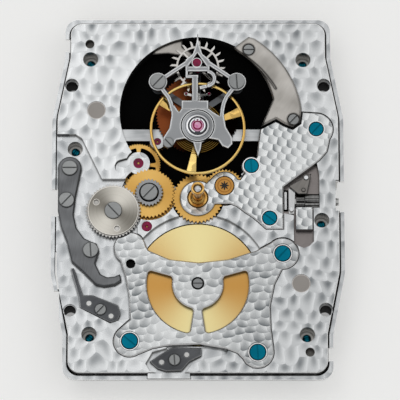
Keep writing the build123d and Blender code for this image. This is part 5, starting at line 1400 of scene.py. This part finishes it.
@dataclass
class Fasteners(SubAssembly):
    """The screws, the pins and the polished seats of the blued screws."""

    LOOKS = {
        "blued_steel": ("bridge_screws",),
        "blued_steel_in_shade": ("plate_screws",),
        "screw_steel": ("steel_screws", "wheel_screws"),
        "polished_steel": ("spring_pins",),
    }
    bridge_top_mm: float = 4.10
    large_head_mm: float = 0.76
    seat_gap_mm: float = 0.06
    seat_width_mm: float = 0.09
    seat_drop_mm: float = 0.06
    seat_lift_mm: float = 0.01
    seat_height_mm: float = 0.05

    def make(self) -> None:
        """Make a dark ring of painted shade in the gap, and a bright polished ring, round each blued screw,
        both turned about it.
        """
        gap_shades, rings = Surface(), Surface()
        for across, along, radius, _ in like_solids("bridge_screws"):
            large = radius > self.large_head_mm
            top = self.bridge_top_mm + (-self.seat_drop_mm if large else self.seat_lift_mm)
            low = top - self.seat_height_mm
            ring = radius + self.seat_gap_mm
            for shape, near, far, level in (
                (gap_shades, radius, ring, top - self.seat_lift_mm / 2),
                (rings, ring, ring + self.seat_width_mm, top),
            ):
                profile = np.array([[near, low], [far, low], [far, level], [near, level]])
                shape.turn(profile, (across, along), segments=48)
        # The polished countersink shows white, and the gap inside it is painted black with shade.
        bright = Plain("polished_seat", "FFFFFF", "E4E6E8", roughness=0.18, cloud_mm=0.4)
        dark = Plain("shaded_gap", "1A1B1D", "0C0C0D", metallic=0.0, roughness=0.6, cloud_mm=0.4)
        for shape, name, finish in (
            (rings, "bridge_screw_seats", bright),
            (gap_shades, "bridge_screw_gap_shades", dark),
        ):
            piece = shape.piece(name, finish.material())
            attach(piece, "movement")


@dataclass
class Studio:
    """The floor, the lights, the world and the camera."""

    floor_size_m: float = 2.0
    floor_gap_m: float = 0.00002
    floor_lift: float = 0.30
    world_levels: Pair = (0.28, 0.64)
    elevation_deg: float = 75.0
    frame_width_mm: float = 40.0
    lens_mm: float = 300.0
    aim_mm: tuple[float, float, float] = (0.22, -0.36, 3.7)

    def build(self) -> None:
        """Set the floor, the lights, the world and the camera."""
        self.floor()
        self.lights()
        self.world()
        self.camera()
        LOG.info("studio set")

    def floor(self) -> None:
        """A plain pale floor just under the back plate."""
        half = self.floor_size_m / 2
        mesh = bpy.data.meshes.new("studio_floor")
        corners = np.array([[-half, -half, 0], [half, -half, 0], [half, half, 0], [-half, half, 0]])
        mesh.from_pydata(corners - [0, 0, self.floor_gap_m], [], [(0, 1, 2, 3)])
        floor = bpy.data.objects.new("studio_floor", mesh)
        bpy.context.scene.collection.objects.link(floor)
        # Matt paper: a plain pale grey.
        paper = Plain(
            "studio_paper", "F2F2F0", "EFEFED", metallic=0.0, roughness=0.9, cloud_mm=60.0,
        ).material()
        self.brighten(paper.node_tree)
        mesh.materials.append(paper)

    def brighten(self, tree: Tree) -> None:
        """Let the camera, reflections and clear things see the paper paler, with its shadow kept."""
        rays = add_node(tree, "ShaderNodeLightPath")
        seen = rays.outputs["Is Camera Ray"]
        for kind in ("Is Glossy Ray", "Is Transmission Ray"):
            seen = add_node(tree, MATH, {0: seen, 1: rays.outputs[kind]}, operation="ADD").outputs[0]
        level = add_node(tree, MATH, {0: seen, 1: self.floor_lift}, operation="MULTIPLY").outputs[0]
        lift = add_node(tree, "ShaderNodeEmission", {"Strength": level})
        output = next(node for node in tree.nodes if node.type == "OUTPUT_MATERIAL")
        paper = output.inputs["Surface"].links[0].from_socket
        both = add_node(tree, "ShaderNodeAddShader", {0: paper, 1: lift.outputs[0]})
        tree.links.new(both.outputs[0], output.inputs["Surface"])

    def lights(self) -> None:
        """A broad soft light above and behind, a side fill and a low front fill."""
        for name, place, size, power in (
            ("softbox_top", (-0.17, 0.17, 0.50), 0.30, 0.17),
            ("softbox_right", (0.42, 0.05, 0.36), 0.22, 0.10),
            ("softbox_front", (-0.18, -0.42, 0.34), 0.25, 0.09),
        ):
            data = bpy.data.lights.new(name, "AREA")
            data.shape = "SQUARE"
            data.size = size
            data.energy = power
            lamp = bpy.data.objects.new(name, data)
            lamp.location = place
            lamp.rotation_euler = (Vector((0, 0, 0)) - Vector(place)).to_track_quat("-Z", "Y").to_euler()
            bpy.context.scene.collection.objects.link(lamp)

    def world(self) -> None:
        """A pale grey surround, lighter overhead than at the horizon."""
        world = bpy.data.worlds.new("studio_world")
        bpy.context.scene.world = world
        world.use_nodes = True
        tree = world.node_tree
        tree.nodes.clear()
        facing = add_node(tree, "ShaderNodeTexCoord").outputs["Generated"]
        height = add_node(tree, SEPARATE, {0: facing}).outputs[2]
        horizon, overhead = self.world_levels
        level = add_node(
            tree,
            MAP_RANGE,
            {"Value": height, "From Min": 0.0, "From Max": 1.0, "To Min": horizon, "To Max": overhead},
        ).outputs[0]
        back = add_node(tree, "ShaderNodeBackground", {"Color": (1, 1, 1, 1), "Strength": level})
        add_node(tree, "ShaderNodeOutputWorld", {"Surface": back.outputs[0]})

    def camera(self) -> None:
        """A long lens at the photograph's angle, aimed so that a millimetre is ten pixels wide."""
        data = bpy.data.cameras.new("photo_camera")
        data.lens = self.lens_mm
        data.sensor_width = 36.0
        camera = bpy.data.objects.new("photo_camera", data)
        bpy.context.scene.collection.objects.link(camera)
        distance = self.lens_mm / data.sensor_width * self.frame_width_mm * MM
        turn = math.radians(self.elevation_deg)
        back = Vector((0.0, -math.cos(turn), math.sin(turn)))
        camera.location = Vector(self.aim_mm) * MM + back * distance
        camera.rotation_mode = "QUATERNION"
        camera.rotation_quaternion = (-back).to_track_quat("-Z", "Y")
        data.clip_start, data.clip_end = 0.01, 10.0
        bpy.context.scene.camera = camera
        bpy.context.scene.view_settings.view_transform = "Standard"


def main() -> None:
    """Build the finishes, the sub-assemblies and the studio in order."""
    logging.basicConfig(level=logging.INFO, format="%(name)s: %(message)s")
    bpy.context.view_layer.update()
    finishes = Finishes()
    finishes.build()
    for part in (Plates, GoingTrain, Tourbillon, Keyless, Fasteners):
        part(finishes).build()
    Studio().build()


if __name__ == "__main__":
    main()
